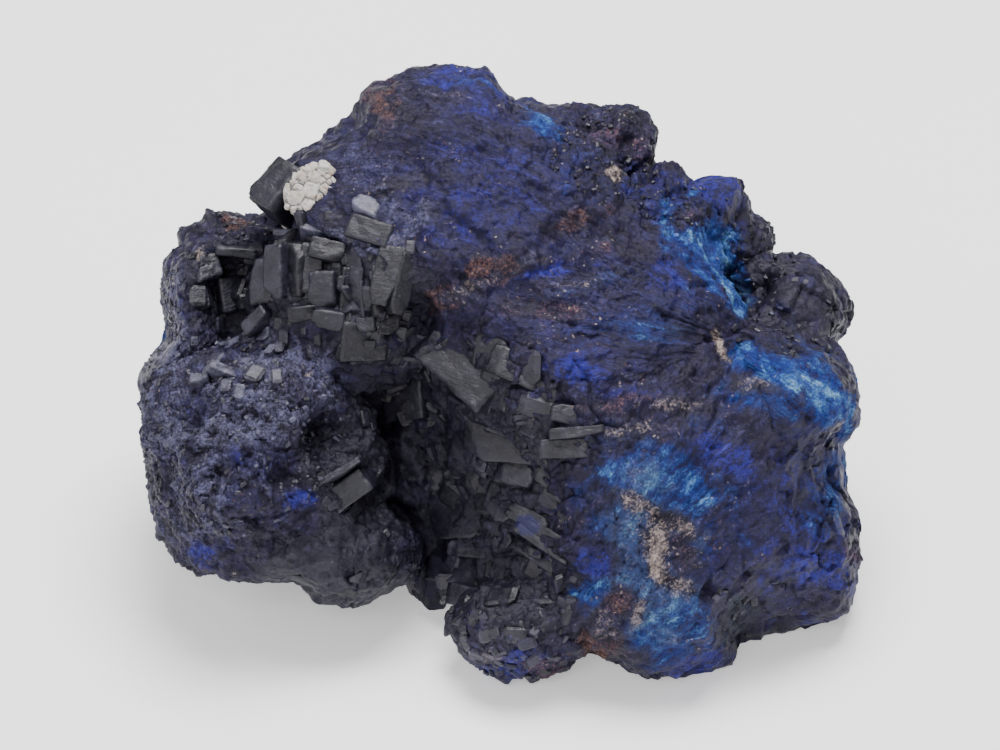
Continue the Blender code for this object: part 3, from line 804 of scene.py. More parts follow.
def flow_of(lobe: Lobe, points: Array) -> Array:
    """Places measured along the lobe's fibres, in millimetres: across them, along them and in depth.

    For a fan, across is the angle about the source times the lobe's distance from it, and along is
    the distance. For an arc the two change places. For a fall, across runs mostly along a.

    Args:
        lobe: the lobe, which gives the flow and its source.
        points: places in the display frame.

    Returns:
        One row of three for each point.
    """
    middle = np.array(lobe.centre[:2]) - lobe.source
    far = np.hypot(*middle)
    if lobe.flow is Flow.FALL:
        across = points[:, 0] + 0.28 * points[:, 1]
        along = points[:, 1] - 0.28 * points[:, 0]
        return np.stack((across, along, points[:, 2]), 1)
    apart = points[:, :2] - lobe.source
    forward = middle / far
    turn = np.arctan2(apart @ (-forward[1], forward[0]), apart @ forward) * far
    distance = np.linalg.norm(apart, axis=1)
    if lobe.flow is Flow.FAN:
        return np.stack((turn, distance, points[:, 2]), 1)
    return np.stack((distance, turn, points[:, 2]), 1)


@dataclass(frozen=True)
class Relief:
    """The fine forms of the skin, as heights in millimetres over the bare form."""

    fibre_rise: float = 0.46
    fibre_wander: float = 2.2
    ridge_wave: float = 2.8
    ridge_rise: float = 0.3
    druse_size: float = 1.5
    druse_rise: float = 0.42
    facet_size: float = 3.0
    facet_rise: float = 0.75
    ledge_size: tuple[float, float, float] = (3.4, 1.7, 3.4)
    ledge_rise: float = 0.95
    ledge_lean: float = 14.0
    rough_rise: float = 0.42
    pits: tuple[tuple[float, float, float, float], ...] = (  # a, b, radius, depth
        (-11.8, -4.6, 2.6, 2.6), (-11.4, -9.4, 2.8, 3.2), (-11.0, -14.4, 2.4, 2.6), (-8.6, 5.8, 2.4, 2.2),
        (-16.8, -6.2, 2.6, 3.4), (-22.2, -10.4, 1.4, 1.0), (-26.0, -4.0, 1.2, 0.8), (-20.6, -3.2, 1.0, 0.8),
        (-28.4, -10.6, 1.3, 0.9), (-24.0, -14.2, 1.1, 0.7), (-30.6, -5.0, 1.0, 0.8), (14.6, 19.4, 1.4, 1.4),
        (24.8, 8.6, 2.4, 2.2), (12.6, 23.4, 1.0, 0.9), (9.4, 24.2, 0.8, 0.8), (20.6, -21.4, 0.9, 0.5),
        (-4.6, 9.2, 1.8, 0.9), (3.0, 6.6, 1.6, 0.7),
    )

    def fibres(self, points: Array, flow: Array) -> Array:
        """Bundles of fibres: noise stretched along the wandering flow, with ridges at two finer widths."""
        wander = np.stack([fractal(points, 5.0, 3, 75 + part, 0.6) for part in range(3)], 1)
        bent = flow + wander * self.fibre_wander
        bundles = noise(bent / (2.0, 8.0, 4.0), 71)
        ridges = 1 - 2 * np.abs(noise(bent / (1.0, 4.4, 2.2), 72))
        threads = 1 - 2 * np.abs(noise(bent / (0.5, 2.4, 1.2), 73))
        return self.fibre_rise * (1.0 * bundles + 0.6 * ridges + 0.34 * threads)

    def ridges(self, points: Array) -> Array:
        """Crests and creases all over: folded noise, each octave half as wide as the one before."""
        bent = points + 0.8 * np.stack([noise(points / 3.0, 57 + part) for part in range(3)], 1)
        total = np.zeros(len(points))
        for octave, rise in enumerate((1.0, 0.6, 0.36)):
            total += rise * (0.5 - np.abs(noise(bent * (2**octave / self.ridge_wave), 54 + octave)) * 2)
        return self.ridge_rise * total

    def druse(self, points: Array) -> Array:
        """A crust of small crystals: each cell is a tilted facet that falls away at its border."""
        coarse = Cells.of(points / self.druse_size, 81)
        fine = Cells.of(points / (0.45 * self.druse_size), 82)
        knobs = np.minimum(coarse.edge / 0.4, 1) + 1.4 * coarse.tilted(1.0)
        grains = np.minimum(fine.edge / 0.4, 1) + 1.2 * fine.tilted(1.0)
        return self.druse_rise * (0.7 * knobs + 0.36 * grains - 0.6)

    def facets(self, points: Array) -> Array:
        """Broad glassy faces, each flat and tilted its own way, with smaller ones among them."""
        broad = Cells.of(points / self.facet_size, 91)
        small = Cells.of(points / (0.4 * self.facet_size), 92)
        share = (broad.chance[:, 0] > 0.45) * 0.45
        stand = 0.5 * (broad.chance[:, 1] - 0.5)
        return self.facet_rise * (broad.tilted(1.1) + stand + share * small.tilted(1.0))

    def ledges(self, points: Array) -> Array:
        """Stacked plates: stretched cells that stand out by steps and have open cracks between them."""
        angle = np.radians(self.ledge_lean)
        rows = ((np.cos(angle), -np.sin(angle), 0), (np.sin(angle), np.cos(angle), 0), (0, 0, 1))
        bent = points + 0.5 * np.stack([noise(points / 4.0, 95 + part) for part in range(3)], 1)
        plates = Cells.of(bent @ np.array(rows).T / self.ledge_size, 93)
        steps = Cells.of(bent @ np.array(rows).T / (np.array(self.ledge_size) * 0.42), 94)
        cracks = 1 - smooth(plates.edge / 0.1)
        stand = (plates.chance[:, 0] - 0.5) + 0.35 * plates.tilted(1.0)
        return self.ledge_rise * (stand + 0.16 * (steps.chance[:, 0] - 0.5) - 0.4 * cracks)

    def hollows(self, form: Form, points: Array) -> Array:
        """The depth of the pits: each falls off as the square of one less its share of the radius."""
        total = np.zeros(len(points))
        for a, b, radius, depth in self.pits:
            apart = np.linalg.norm(points - form.front_of((a, b)), axis=1)
            total += depth * smooth(1.3 * (1 - apart / (1.6 * radius)))
        return total

    def height(self, lobe: Lobe, points: Array, paint: Paint, flow: Array) -> Array:
        """The relief of a lobe's skin but for its pits.

        Each texture's height counts by its share. Rough ground and ridges are added, less on facets.

        Args:
            lobe: the lobe that the points are on.
            points: places in the display frame.
            paint: the shares of the textures.
            flow: the places along the fibres.

        Returns:
            One height for each point.
        """
        parts = (self.fibres(points, flow), self.druse(points), self.facets(points), self.ledges(points))
        total = sum(paint.textures[:, kind.value] * parts[kind.value] for kind in Texture)
        knobs = 0.3 * lobe.knobs * noise(points / 2.1, 52)
        rough = self.rough_rise * (fractal(points, 3.4, 5, 51, 0.62) + knobs)
        return total + (rough + self.ridges(points)) * (1 - 0.5 * paint.textures[:, Texture.FACETS.value])


# ---------------------------------------------------------------- surfaces


@dataclass
class Surface:
    """The finished skin of one lobe."""

    lobe: Lobe
    points: Array  # display frame
    quads: Array
    outward: Array
    paint: Paint
    flow: Array
    low: Array  # from 0 on the crests to 1 in the hollows and pits, where the finishes paint shade
    depth: Array  # how deep under the other lobes


@dataclass
class Growth:
    """Grows the skin of the lobes from their bare form."""

    form: Form
    relief: Relief = field(default_factory=Relief)
    most_cells: int = 128  # along a cube side, which keeps a piece under 200,000 triangles
    front_pull: float = 0.3  # how much finer the grid is in front
    skin_depth: float = 2.5  # deeper under other lobes than this, nothing is worked out in detail
    blurs: int = 4

    def surface(self, lobe: Lobe) -> Surface:
        """Works out one lobe.

        The relief is added along the direction from the lobe's centre. How low a point is follows
        from its relief beside a blurred copy: the mean of its faces' corners, and the pits add to it.
        The finishes paint shade where a point is low.

        Args:
            lobe: which lobe.

        Returns:
            Its skin.
        """
        across = np.pi / 2 * np.mean(lobe.radii)
        cells = min(self.most_cells, round(across / lobe.spacing / (1)))
        directions, quads = cube_grid(cells, self.front_pull)
        points = self.form.surface(lobe, directions)
        depth = self.form.depth_inside(lobe, points)
        near = depth < self.skin_depth
        paint = Paint(np.zeros((len(points), len(Mineral))), np.zeros((len(points), len(Texture))))
        shown = Paint.of(lobe, points[near])
        paint.minerals[near] = shown.minerals
        paint.textures[near] = shown.textures
        flow = flow_of(lobe, points)
        height = np.zeros(len(points))
        height[near] = self.relief.height(lobe, points[near], shown, flow[near])
        pits = np.zeros(len(points))
        pits[near] = self.relief.hollows(self.form, points[near])
        raised = points + directions * (height - pits)[:, None]
        mean = height.copy()
        for _ in range(self.blurs):
            faces = mean[quads].mean(axis=1)
            total = np.bincount(quads.ravel(), np.repeat(faces, 4), len(points))
            mean = total / np.bincount(quads.ravel(), minlength=len(points))
        # how low each point is, with the pits counting too: the finishes paint shade where it is high
        low = np.clip(0.5 - (height - mean) / 0.5 + 0.4 * pits, 0, 1)
        return Surface(lobe, raised, quads, normals_of(points, quads), paint, flow, low, depth)


@dataclass
class Blank:
    """A mesh still held as arrays, in the display frame, with what its finish reads at each corner."""

    points: Array
    faces: Array
    minerals: Array
    textures: Array
    flow: Array
    low: Array

    @classmethod
    def of(cls, surface: Surface) -> Blank:
        """Takes over a lobe's skin."""
        paint = surface.paint
        return cls(surface.points, surface.quads, paint.minerals, paint.textures, surface.flow, surface.low)

    @classmethod
    def plain(cls, points: Array, faces: Array, minerals: Array) -> Blank:
        """A mesh that has no texture of the skin and no flow.

        Args:
            points: places in the display frame.
            faces: the corners of each face.
            minerals: the share of each mineral at each corner.

        Returns:
            The blank.
        """
        textures = np.zeros((len(points), len(Texture)))
        textures[:, Texture.FACETS.value] = 1.0
        return cls(points, faces, minerals, textures, points.copy(), np.full(len(points), 0.4))


@dataclass
class Bench:
    """Turns blanks into pieces of the object."""

    stance: Stance
    lifts: float = 0.006  # millimetres between the bottoms of one piece and the next
    made: int = 0

    def piece(
        self, name: str, blank: Blank, finish: bpy.types.Material, rounded: bool = True
    ) -> bpy.types.Object:
        """Makes one piece, cut off flat where it rests.

        Args:
            name: what the piece is.
            blank: its mesh.
            finish: its material.
            rounded: whether its faces are shaded as one smooth skin.

        Returns:
            The piece, riding on the stone's body.
        """
        places = self.stance.stand(blank.points)
        places[:, 2] = np.maximum(places[:, 2], self.made * self.lifts * MM)
        self.made += 1
        sides = blank.faces.shape[1]
        mesh = bpy.data.meshes.new(name)
        mesh.vertices.add(len(places))
        mesh.vertices.foreach_set("co", places.astype(np.float32).ravel())
        mesh.loops.add(blank.faces.size)
        mesh.loops.foreach_set("vertex_index", blank.faces.astype(np.int32).ravel())
        mesh.polygons.add(len(blank.faces))
        mesh.polygons.foreach_set("loop_start", np.arange(len(blank.faces), dtype=np.int32) * sides)
        mesh.polygons.foreach_set("use_smooth", np.full(len(blank.faces), rounded))
        mesh.update(calc_edges=True)
        for label, values in (
            ("minerals_a", blank.minerals[:, :3]), ("minerals_b", blank.minerals[:, 3:6]),
            ("textures", blank.textures[:, :3]), ("flow", blank.flow),
        ):
            layer = mesh.attributes.new(label, "FLOAT_VECTOR", "POINT")
            layer.data.foreach_set("vector", values.astype(np.float32).ravel())
        # low: painted shade in the lobes' hollows and on blocks turned from the light, random tone on the
        # druse crystals, the cracks in the crust
        for label, values in (("low", blank.low), ("frost", blank.minerals[:, Mineral.FROST.value])):
            layer = mesh.attributes.new(label, "FLOAT", "POINT")
            layer.data.foreach_set("value", values.astype(np.float32))
        mesh.materials.append(finish)
        made = bpy.data.objects.new(name, mesh)
        bpy.context.scene.collection.objects.link(made)
        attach(made, BODY)
        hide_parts(NODE)
        log.info("%s: %d corners, %d faces", name, len(places), len(blank.faces))
        return made


# ---------------------------------------------------------------- crystals


def turning(turn: float, nod: float, lean: float) -> Array:
    """The rotation by nod about a, then turn about b, then lean about c, in degrees.

    Args:
        turn: how far the front is turned to the right.
        nod: how far the front is tipped upwards.
        lean: anticlockwise, seen from the front.

    Returns:
        A 3 by 3 matrix.
    """
    angles = np.radians((turn, nod, lean))
    ct, cn, cl = np.cos(angles)
    st, sn, sl = np.sin(angles)
    about_c = np.array(((cl, -sl, 0), (sl, cl, 0), (0, 0, 1)))
    about_b = np.array(((ct, 0, st), (0, 1, 0), (-st, 0, ct)))
    about_a = np.array(((1, 0, 0), (0, cn, sn), (0, -sn, cn)))
    return about_c @ about_b @ about_a


@dataclass(frozen=True)
class Block:
    """A flat-sided crystal or plate that stands a little proud of the front of the lobes."""

    place: tuple[float, float]  # its middle, along a and b
    size: tuple[float, float, float]  # across, tall and out
    turn: float = 0.0
    nod: float = 0.0
    lean: float = 0.0
    proud: float = 1.2  # how far its front stands out of the lobes
    slant: float = 0.0  # how far its top drops towards the front
    # painted shade: how much darker its faces are painted, most for blocks turned to the right, away from the
    # light
    painted_shade: float = 0.42
    dusty: float = 0.0

    CELLS = 18
    EDGE_POWER = 120
    CHIPS = 6
    CHIP_DEPTHS = (0.68, 0.9)  # how far out the chips cut, as a share of the corner's distance
    STEP_SIZE = (1.3, 0.8, 0.8)
    LEAST_GLASS = 0.75

    def blank(self, form: Form, seed: int) -> Blank:
        """Works out the crystal.

        Each of the box's sides, the slanting top and the seeded chips limits the reach along a
        direction from the middle, raised to a high power and added up, so that edges stay crisp.
        Growth steps and a fine unevenness are added along the direction.

        Args:
            form: the stone's form, which says where the front is.
            seed: picks the chips and the unevenness.

        Returns:
            The crystal's mesh.
        """
        directions, quads = cube_grid(self.CELLS)
        half = np.array(self.size) / 2
        directions = unit(directions * half)
        sides = [(unit(np.eye(3)[axis] * way), half[axis]) for axis in range(3) for way in (1, -1)]
        slanting = unit((0, self.size[2], self.slant))
        sides.append((slanting, slanting @ (0, half[1] - self.slant / 2, 0)))
        chance = np.random.default_rng(seed)
        for facing in unit(chance.normal(size=(self.CHIPS, 3)) / half):
            sides.append((facing, np.abs(facing) @ half * chance.uniform(*self.CHIP_DEPTHS)))
        nearness = ((np.maximum(directions @ facing, 0) / depth) for facing, depth in sides)
        total = sum(near**self.EDGE_POWER for near in nearness)
        own = directions * (total ** (-1 / self.EDGE_POWER))[:, None]
        matrix = turning(self.turn, self.nod, self.lean)
        middle = form.front_of(self.place) + matrix[:, 2] * (self.proud - half[2])
        points = middle + own @ matrix.T
        steps = Cells.of(own / self.STEP_SIZE, seed)
        rise = 0.12 * (steps.chance[:, 0] - 0.5) + 0.06 * steps.tilted(1.0)
        rise = rise + 0.06 * fractal(points, 0.9, 3, seed)
        points += (directions @ matrix.T) * rise[:, None]
        minerals = Paint.of(BARE, points).minerals
        minerals[:, Mineral.GLASS.value] = np.maximum(minerals[:, Mineral.GLASS.value], self.LEAST_GLASS)
        minerals[:, Mineral.FROST.value] = self.dusty
        blank = Blank.plain(points, quads, minerals)
        # the painted shade reaches the finish as low
        blank.low = np.full(len(points), self.painted_shade)
        return blank


BARE = Lobe("crystal", (0, 0, 0), (1, 1, 1))


def joined(blanks: list[Blank]) -> Blank:
    """Puts several blanks into one mesh.

    Args:
        blanks: the meshes, whose faces all have the same number of sides.

    Returns:
        The one mesh.
    """
    starts = np.cumsum([0] + [len(blank.points) for blank in blanks[:-1]])
    names = [part.name for part in fields(Blank)]
    whole = {name: np.concatenate([getattr(blank, name) for blank in blanks]) for name in names}
    whole["faces"] = np.concatenate([blank.faces + start for blank, start in zip(blanks, starts)])
    return Blank(**whole)


def blocks(*rows: tuple[float, ...]) -> tuple[Block, ...]:
    """Blocks from a, b, across, tall and out, then the turn and what follows it as far as they're given."""
    return tuple(Block(row[:2], row[2:5], *row[5:]) for row in rows)


PRISMS = blocks(  # the upright prisms over the shelf, and the facets beside them
    (-21.7, 10.5, 2.4, 5.9, 5, -44, 2, 2, 1.6, 0.5, 0, 0.2),
    (-20, 10.6, 2.7, 5.7, 5, 34, 0, -2, 1.7, 0.4, 1), (-18.6, 10.8, 2.2, 5.5, 5, -8, 2, -4, 1.6, 0.5, 0.75),
    (-17, 12.3, 3.7, 2.8, 6, -10, 16, -14, 1.9, 0.7, 0.82),
    (-17.3, 8.5, 2.9, 4.7, 6, -12, -4, -3, 1.7, 0.4, 0.54),
    (-15.7, 8.7, 2, 5.1, 6, 26, -4, -3, 1.6, 0.4, 0.89),
    (-13.9, 9, 2.3, 7.8, 6, -32, 0, 2, 1.6, 0.7, 0.2, 0.1), (-12.3, 9, 2.1, 6.8, 6, 28, 0, 2, 1.5, 0.7, 1),
    (-11, 10.2, 2.7, 7, 6, -10, 4, -12, 1.4, 0.8, 0.82), (-9.6, 9.6, 2.4, 7.4, 6, 30, 4, -15, 1.1, 0.8, 1),
    (-12.8, 14.6, 4.6, 3.2, 5, -14, 10, -18, 0.9, 0.8, 0.7, 0.1),
    (-13, 16.6, 3.4, 2.4, 4, -14, 40, -24, 0.7, 0.3, 0, 1),
    (-16.9, 5.9, 3.2, 2.1, 5, -6, -16, -10, 1.5, 0.2, 0.54),
    (-19.4, 6.4, 3.7, 1.9, 5, 14, -10, 12, 1.2, 0.3, 0.82), (-13, 5, 2, 2.1, 5, -20, 0, 4, 1.4, 0.3, 0.61),
    (-11.4, 5.2, 2.1, 2.3, 5, 20, 0, -4, 1.3, 0.3, 0.96),
    (-13.6, 3.4, 4.9, 4.5, 6, 16, -8, -4, 0.8, 0.4, 0.96),
    (-21.9, 18.7, 3.8, 5.6, 6, -35, 8, -30, 1.8, 0.3, 0.75),
    (-17.6, 14.4, 4.6, 1.2, 5, -10, 34, -8, 1.4, 0.2, 0, 1),
    (-21, 13.6, 2.6, 0.9, 5, -20, 30, 2, 1.6, 0.2, 0, 0.9),
)
RECESS_CRYSTALS = blocks(
    (-23.8, 5.4, 3.2, 2, 4, -24, 24, 42, 1.6, 0.3, 0, 0.4),
    (-25, 3.4, 2, 2, 4, 20, 18, 20, 1.4, 0.3, 0, 0.6),
    (-27.8, 0.2, 3, 1.2, 3, 10, 34, -24, 1.2, 0.2, 0, 0.9),
    (-29.8, -0.6, 2, 1.2, 3, -12, 30, 8, 1, 0.2, 0, 0.8), (-27, 8.4, 3.6, 4.4, 5, 30, 4, 6, 1.2, 0.8),
    (-23.3, 9.4, 3.6, 5.6, 5, -20, 2, -2, 1, 0.8), (-29.6, 10.8, 2.8, 3.4, 4, 24, 12, 10, 1, 0.6),
    (-26.4, 12.6, 4.2, 1.6, 4, 0, -20, -4, 1.2, 0.3),
)
LEDGES = blocks(  # facets and stacked plates down the prow and the wall to the left of it
    (-9.8, 0.4, 5.2, 10, 5, -30, 4, 8, 0.6, 0.6), (-3.8, 1.2, 9.8, 5.5, 4, -26, -2, -42, 0.3, 0.5, 0.6),
    (1.6, 1, 5.7, 3.4, 3, -10, 6, -24, 0.2, 0.4, 0.6), (-5.3, -5.8, 5, 6.8, 4, -30, -4, 2, 0.7, 0.8),
    (0.6, -6.2, 9.1, 5.2, 3.2, -20, 6, -4, 0.7, 0.3), (3.7, -3.2, 4.2, 0.7, 3, -10, 8, 14, 0.8, 0.1),
    (3.6, -3.9, 4.4, 0.6, 3, -12, 8, 12, 1, 0.1), (3.8, -4.6, 4.4, 0.6, 3, -10, 8, 10, 0.8, 0.1),
    (6.6, -3.9, 3, 2.3, 3, -4, 2, -6, 0.6, 0.2), (7.6, -5.6, 5.6, 1.3, 3, -8, 4, 4, 0.6, 0.2),
    (6.4, -7.2, 5, 2.1, 3, -14, 4, 2, 0.6, 0.2), (1.8, -9.6, 5, 3, 3, -26, 12, -12, 0.6, 0.4),
    (-4.5, -9.7, 2.6, 2.3, 3, -30, 20, -6, 0.6, 0.2), (-2.2, -10.2, 2.7, 3.9, 3.2, -36, 2, 0, 0.5, 0.6),
    (-4.2, -13.4, 7.8, 5.9, 4, -40, 2, 4, 0.6, 0.8), (0.4, -12.6, 4.3, 4.1, 3, -36, 6, -14, 0.5, 0.4),
    (-5.9, -17.2, 5, 3.2, 3, -46, 4, -3, 0.6, 0.3), (-2.3, -17, 4.6, 2.7, 3, -40, 8, -6, 0.6, 0.3),
    (-4.3, -19.6, 7.5, 2.7, 3, -44, 4, -8, 0.5, 0.3), (2.6, -13.8, 6.4, 1.2, 3, -30, 8, -30, 0.8, 0.1),
    (3.6, -15.2, 7.6, 1.2, 3.2, -28, 6, -32, 1, 0.1), (4.4, -16.8, 7.4, 1.3, 3.2, -28, 2, -34, 0.8, 0.1),
    (3.4, -18, 6.4, 1.2, 3, -30, 0, -34, 0.7, 0.1), (-2.6, -22.2, 6.6, 2.5, 3, -42, 0, -12, 0.5, 0.3),
    (1.6, -21.4, 5.2, 3.2, 3, -36, -6, -18, 0.5, 0.3),
)
FAN_BLADES = blocks(  # beside the hollow in the left lobe, and spread over the fans under it
    (-16.6, -10.2, 6.8, 0.9, 4, -6, 10, 30, 1.5, 0.1), (-16, -12, 7.2, 2.8, 4, -14, 0, 36, 1.5, 0.3),
    (-20.6, -17.4, 7, 1.5, 4, -20, -10, 28, 0.4, 0.2, 0.5),
    (-18.4, -18.8, 8, 1.5, 4, -10, -16, 8, 0.5, 0.2, 0.3),
    (-17.6, -20.8, 7, 1.4, 4, 0, -24, -12, 0.4, 0.2, 0.5),
    (-12.8, -17.2, 5, 1.4, 4, 15, -8, 50, 0.4, 0.2, 0.6),
    (-12.6, -19.4, 5.6, 1.4, 4, 15, -14, 28, 0.5, 0.2, 0.4),
)


@dataclass(frozen=True)
class Druse:
    """Small blocky crystals sown over parts of the skin, as one mesh."""

    name: str
    count: int
    size: tuple[float, float]  # the smallest and largest, in millimetres
    flatness: float  # how thick they are beside their width
    places: tuple[tuple[float, float, float, float], ...]  # a, b, half width and half height of each patch
    seed: int
    sink: float = 0.25  # how far they are sunk in, as a share of their size
    lean: float = 0.0  # degrees that their length leans, seen from the front
    scatter: float = 1.0  # how freely each one turns
    minerals: tuple[float, ...] = (0.3, 0, 0, 0, 0, 0.8, 0)
    behind: bool = False

    CHAMFER = 0.16  # how much of the cube's side is cut off at an edge
    CORNERS = 8
    SHOWN_DEPTH = 0.2  # skin that lies deeper than this under other lobes bears nothing
    FRONT_START = -14.0  # along c
    BACK_START = -16.0
    LEAST_FACING = -0.2  # how far back the skin in front may face
    TURN_SPREAD = 0.45
    LEAN_SPREAD = 90.0  # degrees
    WIDTHS = (0.55, 0.85)  # beside the length
    THICKNESSES = (0.8, 1.3)  # beside the flatness
    SKEW = 0.25
    KEPT = (1, 1, 1, 0.6, 0.6, 1, 1)  # how much of each mineral of the skin the crystals take over

    def template(self) -> tuple[Array, Array]:
        """A cube with its edges and corners cut, as three corner points at each corner of the cube.

        Returns:
            24 points, and triangles that face outwards.
        """
        signs = np.array([(x, y, z) for x in (-1, 1) for y in (-1, 1) for z in (-1, 1)], float)
        points = np.repeat(signs, 3, axis=0)
        held = np.tile(np.arange(3), self.CORNERS)
        inset = np.full_like(points, 1 - 2 * self.CHAMFER)
        inset[np.arange(len(points)), held] = 1.0
        points = points * inset / 2
        triangles = []
        for axis in range(3):
            for way in (-1, 1):
                ring = np.flatnonzero((held == axis) & (points[:, axis] * way > 0.4))
                triangles += self.fan(points, ring)
        for one in range(self.CORNERS):
            triangles += self.fan(points, np.arange(3) + 3 * one)
        for one in range(self.CORNERS):
            for axis in range(3):
                other = one ^ (4 >> axis)
                if one < other:
                    pair = [3 * one + part for part in range(3) if part != axis]
                    pair += [3 * other + part for part in range(3) if part != axis]
                    triangles += self.fan(points, np.array(pair))
        return points, np.array(triangles)

    @staticmethod
    def fan(points: Array, ring: Array) -> list[tuple[int, int, int]]:
        """Triangles over a flat ring of points round an outward direction: the ring's own middle.

        Args:
            points: all the points.
            ring: which of them make the ring, in any order.

        Returns:
            The triangles.
        """
        middle = points[ring].mean(axis=0)
        outward = unit(middle)
        first = unit(points[ring[0]] - middle)
        second = np.cross(outward, first)
        apart = points[ring] - middle
        order = ring[np.argsort(np.arctan2(apart @ second, apart @ first))]
        return [(order[0], order[step], order[step + 1]) for step in range(1, len(order) - 1)]

    def blank(self, surfaces: list[Surface]) -> Blank:
        """Sows the crystals on the skin.

        Each one stands on a corner of a lobe's grid, along the skin's outward direction turned by a
        seeded amount, and is the template stretched and turned by its own matrix.

        Args:
            surfaces: the skins of all the lobes.

        Returns:
            All the crystals as one mesh.
        """
        shown = [(surface, surface.depth < self.SHOWN_DEPTH) for surface in surfaces]
        ground = np.concatenate([surface.points[keep] for surface, keep in shown])
        outward = np.concatenate([surface.outward[keep] for surface, keep in shown])
        paint = np.concatenate([surface.paint.minerals[keep] for surface, keep in shown])
        near = np.zeros(len(ground), bool)
        for a, b, wide, tall in self.places:
            near |= np.hypot((ground[:, 0] - a) / wide, (ground[:, 1] - b) / tall) < 1
        if self.behind:
            near &= ground[:, 2] < self.BACK_START
        else:
            near &= (ground[:, 2] > self.FRONT_START) & (outward[:, 2] > self.LEAST_FACING)
        chance = np.random.default_rng(self.seed)
        picked = chance.choice(np.flatnonzero(near), self.count, replace=False)
        size = self.size[0] + (self.size[1] - self.size[0]) * chance.random(self.count) ** 2
        up = unit(outward[picked] + self.TURN_SPREAD * self.scatter * chance.normal(size=(self.count, 3)))
        angle = np.radians(self.lean + self.LEAN_SPREAD * self.scatter * chance.normal(size=self.count))
        along = np.stack((np.cos(angle), np.sin(angle), np.zeros(self.count)), 1)
        aside = unit(np.cross(up, along))
        frames = np.stack((np.cross(aside, up), aside, up), 2)
        widths = chance.uniform(*self.WIDTHS, self.count)
        thicknesses = self.flatness * chance.uniform(*self.THICKNESSES, self.count)
        stretch = np.stack((np.ones(self.count), widths, thicknesses), 1)
        points, triangles = self.template()
        own = points * (size[:, None] * stretch)[:, None, :]
        own[:, :, 0] += own[:, :, 2] * chance.normal(0, self.SKEW, self.count)[:, None]
        placed = ground[picked][:, None, :] + np.einsum("nij,npj->npi", frames, own)
        placed += up[:, None, :] * (size * (thicknesses * 0.5 - self.sink))[:, None, None]
        faces = (triangles + len(points) * np.arange(self.count)[:, None, None]).reshape(-1, 3)
        minerals = np.maximum(np.array(self.minerals), paint[picked] * self.KEPT)
        blank = Blank.plain(placed.reshape(-1, 3), faces, np.repeat(minerals, len(points), axis=0))
        blank.low = np.repeat(chance.random(self.count), len(points))
        return blank


DRUSES = (
    Druse(
        "left_lobe_crystals", 1000, (0.25, 0.75), 0.5,
        ((-26, -6, 11, 10), (-33, 4, 3, 9), (-29, 14, 5, 2.5)),
        301, 0.42, minerals=(0.3, 0, 0, 0, 0, 0.5, 0.6),
    ),
    Druse(
        "boss_crystals", 300, (0.25, 0.7), 0.7,
        ((10.6, 22, 5.5, 5), (18, 16.5, 5, 3.5), (26, 13, 4, 4)),
        302, 0.42,
    ),
    Druse(
        "wall_plates", 240, (1.2, 4.4), 0.3,
        (
            (-2.5, -10, 4.4, 12), (2, -5, 6, 4), (2.5, -16, 4, 7), (-3, 0, 7, 4), (-9.5, 0, 3, 5),
            (0, -22, 6, 4),
        ),
        303, 0.36, -12, 0.16, (0.15, 0, 0, 0, 0, 0.95, 0),
    ),
    Druse(
        "shelf_crystals", 170, (0.8, 2.6), 0.45,
        ((-16, 9, 8, 8), (-25, 6, 6, 8), (-11, -1, 4, 5)),
        304, 0.26, 88, 0.1, (0.15, 0, 0, 0, 0, 0.9, 0.1),
    ),
    Druse(
        "blade_plates", 26, (0.9, 2.6), 0.2,
        ((-15, -11.4, 3.4, 2.6),),
        307, 0.2, 30, 0.16, (0.1, 0, 0, 0, 0, 0.9, 0.1),
    ),
    Druse("toe_crystals", 80, (0.5, 2.0), 0.5, ((2, -27, 6, 4), (6, -24, 4, 4)), 305, 0.44),
    Druse("shoulder_crystals", 110, (0.5, 1.2), 0.5, ((29, 5, 6, 5), (25, -24, 5, 4)), 306, 0.42),
    Druse(
        "back_crystals", 420, (0.4, 2.0), 0.5,
        ((-14, 6, 9, 6), (16, -12, 10, 6), (-4, -16, 8, 7), (20, 10, 6, 5)),
        308, 0.34, 20, 0.4, behind=True,
    ),
)


@dataclass(frozen=True)
class Crust:
    """The pale knobbly crust beside the prisms."""

    lumps: tuple[tuple[float, float, float], ...] = (  # a, b, radius
        (-18.6, 19.2, 1.9), (-17.7, 20.2, 1.2), (-20.8, 16.2, 1.7), (-19.7, 17.7, 2.0), (-19.6, 19.4, 1.3),
        (-18.0, 18.0, 1.3), (-21.4, 15.3, 1.1), (-17.2, 18.9, 1.0), (-18.6, 16.7, 0.9),
    )
    flatten: float = 0.75
    cells: int = 30
    cell_size: float = 1.5
    lift: float = 0.5

    def blank(self, form: Form) -> Blank:
        """Works out the lumps.

        Each is a ball, flattened along c, whose radius rises over tilted cells and drops in the
        cracks between them.

        Args:
            form: the stone's form, which says where the front is.

        Returns:
            All the lumps as one mesh.
        """
        directions, quads = cube_grid(self.cells)
        blanks = []
        for a, b, radius in self.lumps:
            middle = form.front_of((a, b)) + (0, 0, self.lift)
            points = middle + directions * radius * (1, 1, self.flatten)
            cells = Cells.of(points / self.cell_size, 401)
            rise = 0.22 * smooth(cells.edge / 0.16) + 0.2 * cells.tilted(1.0)
            rise = rise + 0.4 * fractal(points, 1.1, 4, 402, 0.6)
            points += directions * (rise - 0.2)[:, None]
            minerals = np.zeros((len(points), len(Mineral)))
            minerals[:, Mineral.CREAM.value] = 1.0
            blank = Blank.plain(points, quads, minerals)
            blank.low = np.clip(1 - cells.edge / 0.12, 0, 1)
            blanks.append(blank)
        return joined(blanks)


# ---------------------------------------------------------------- finishes

Socket = bpy.types.NodeSocket
Colour = tuple[float, float, float]


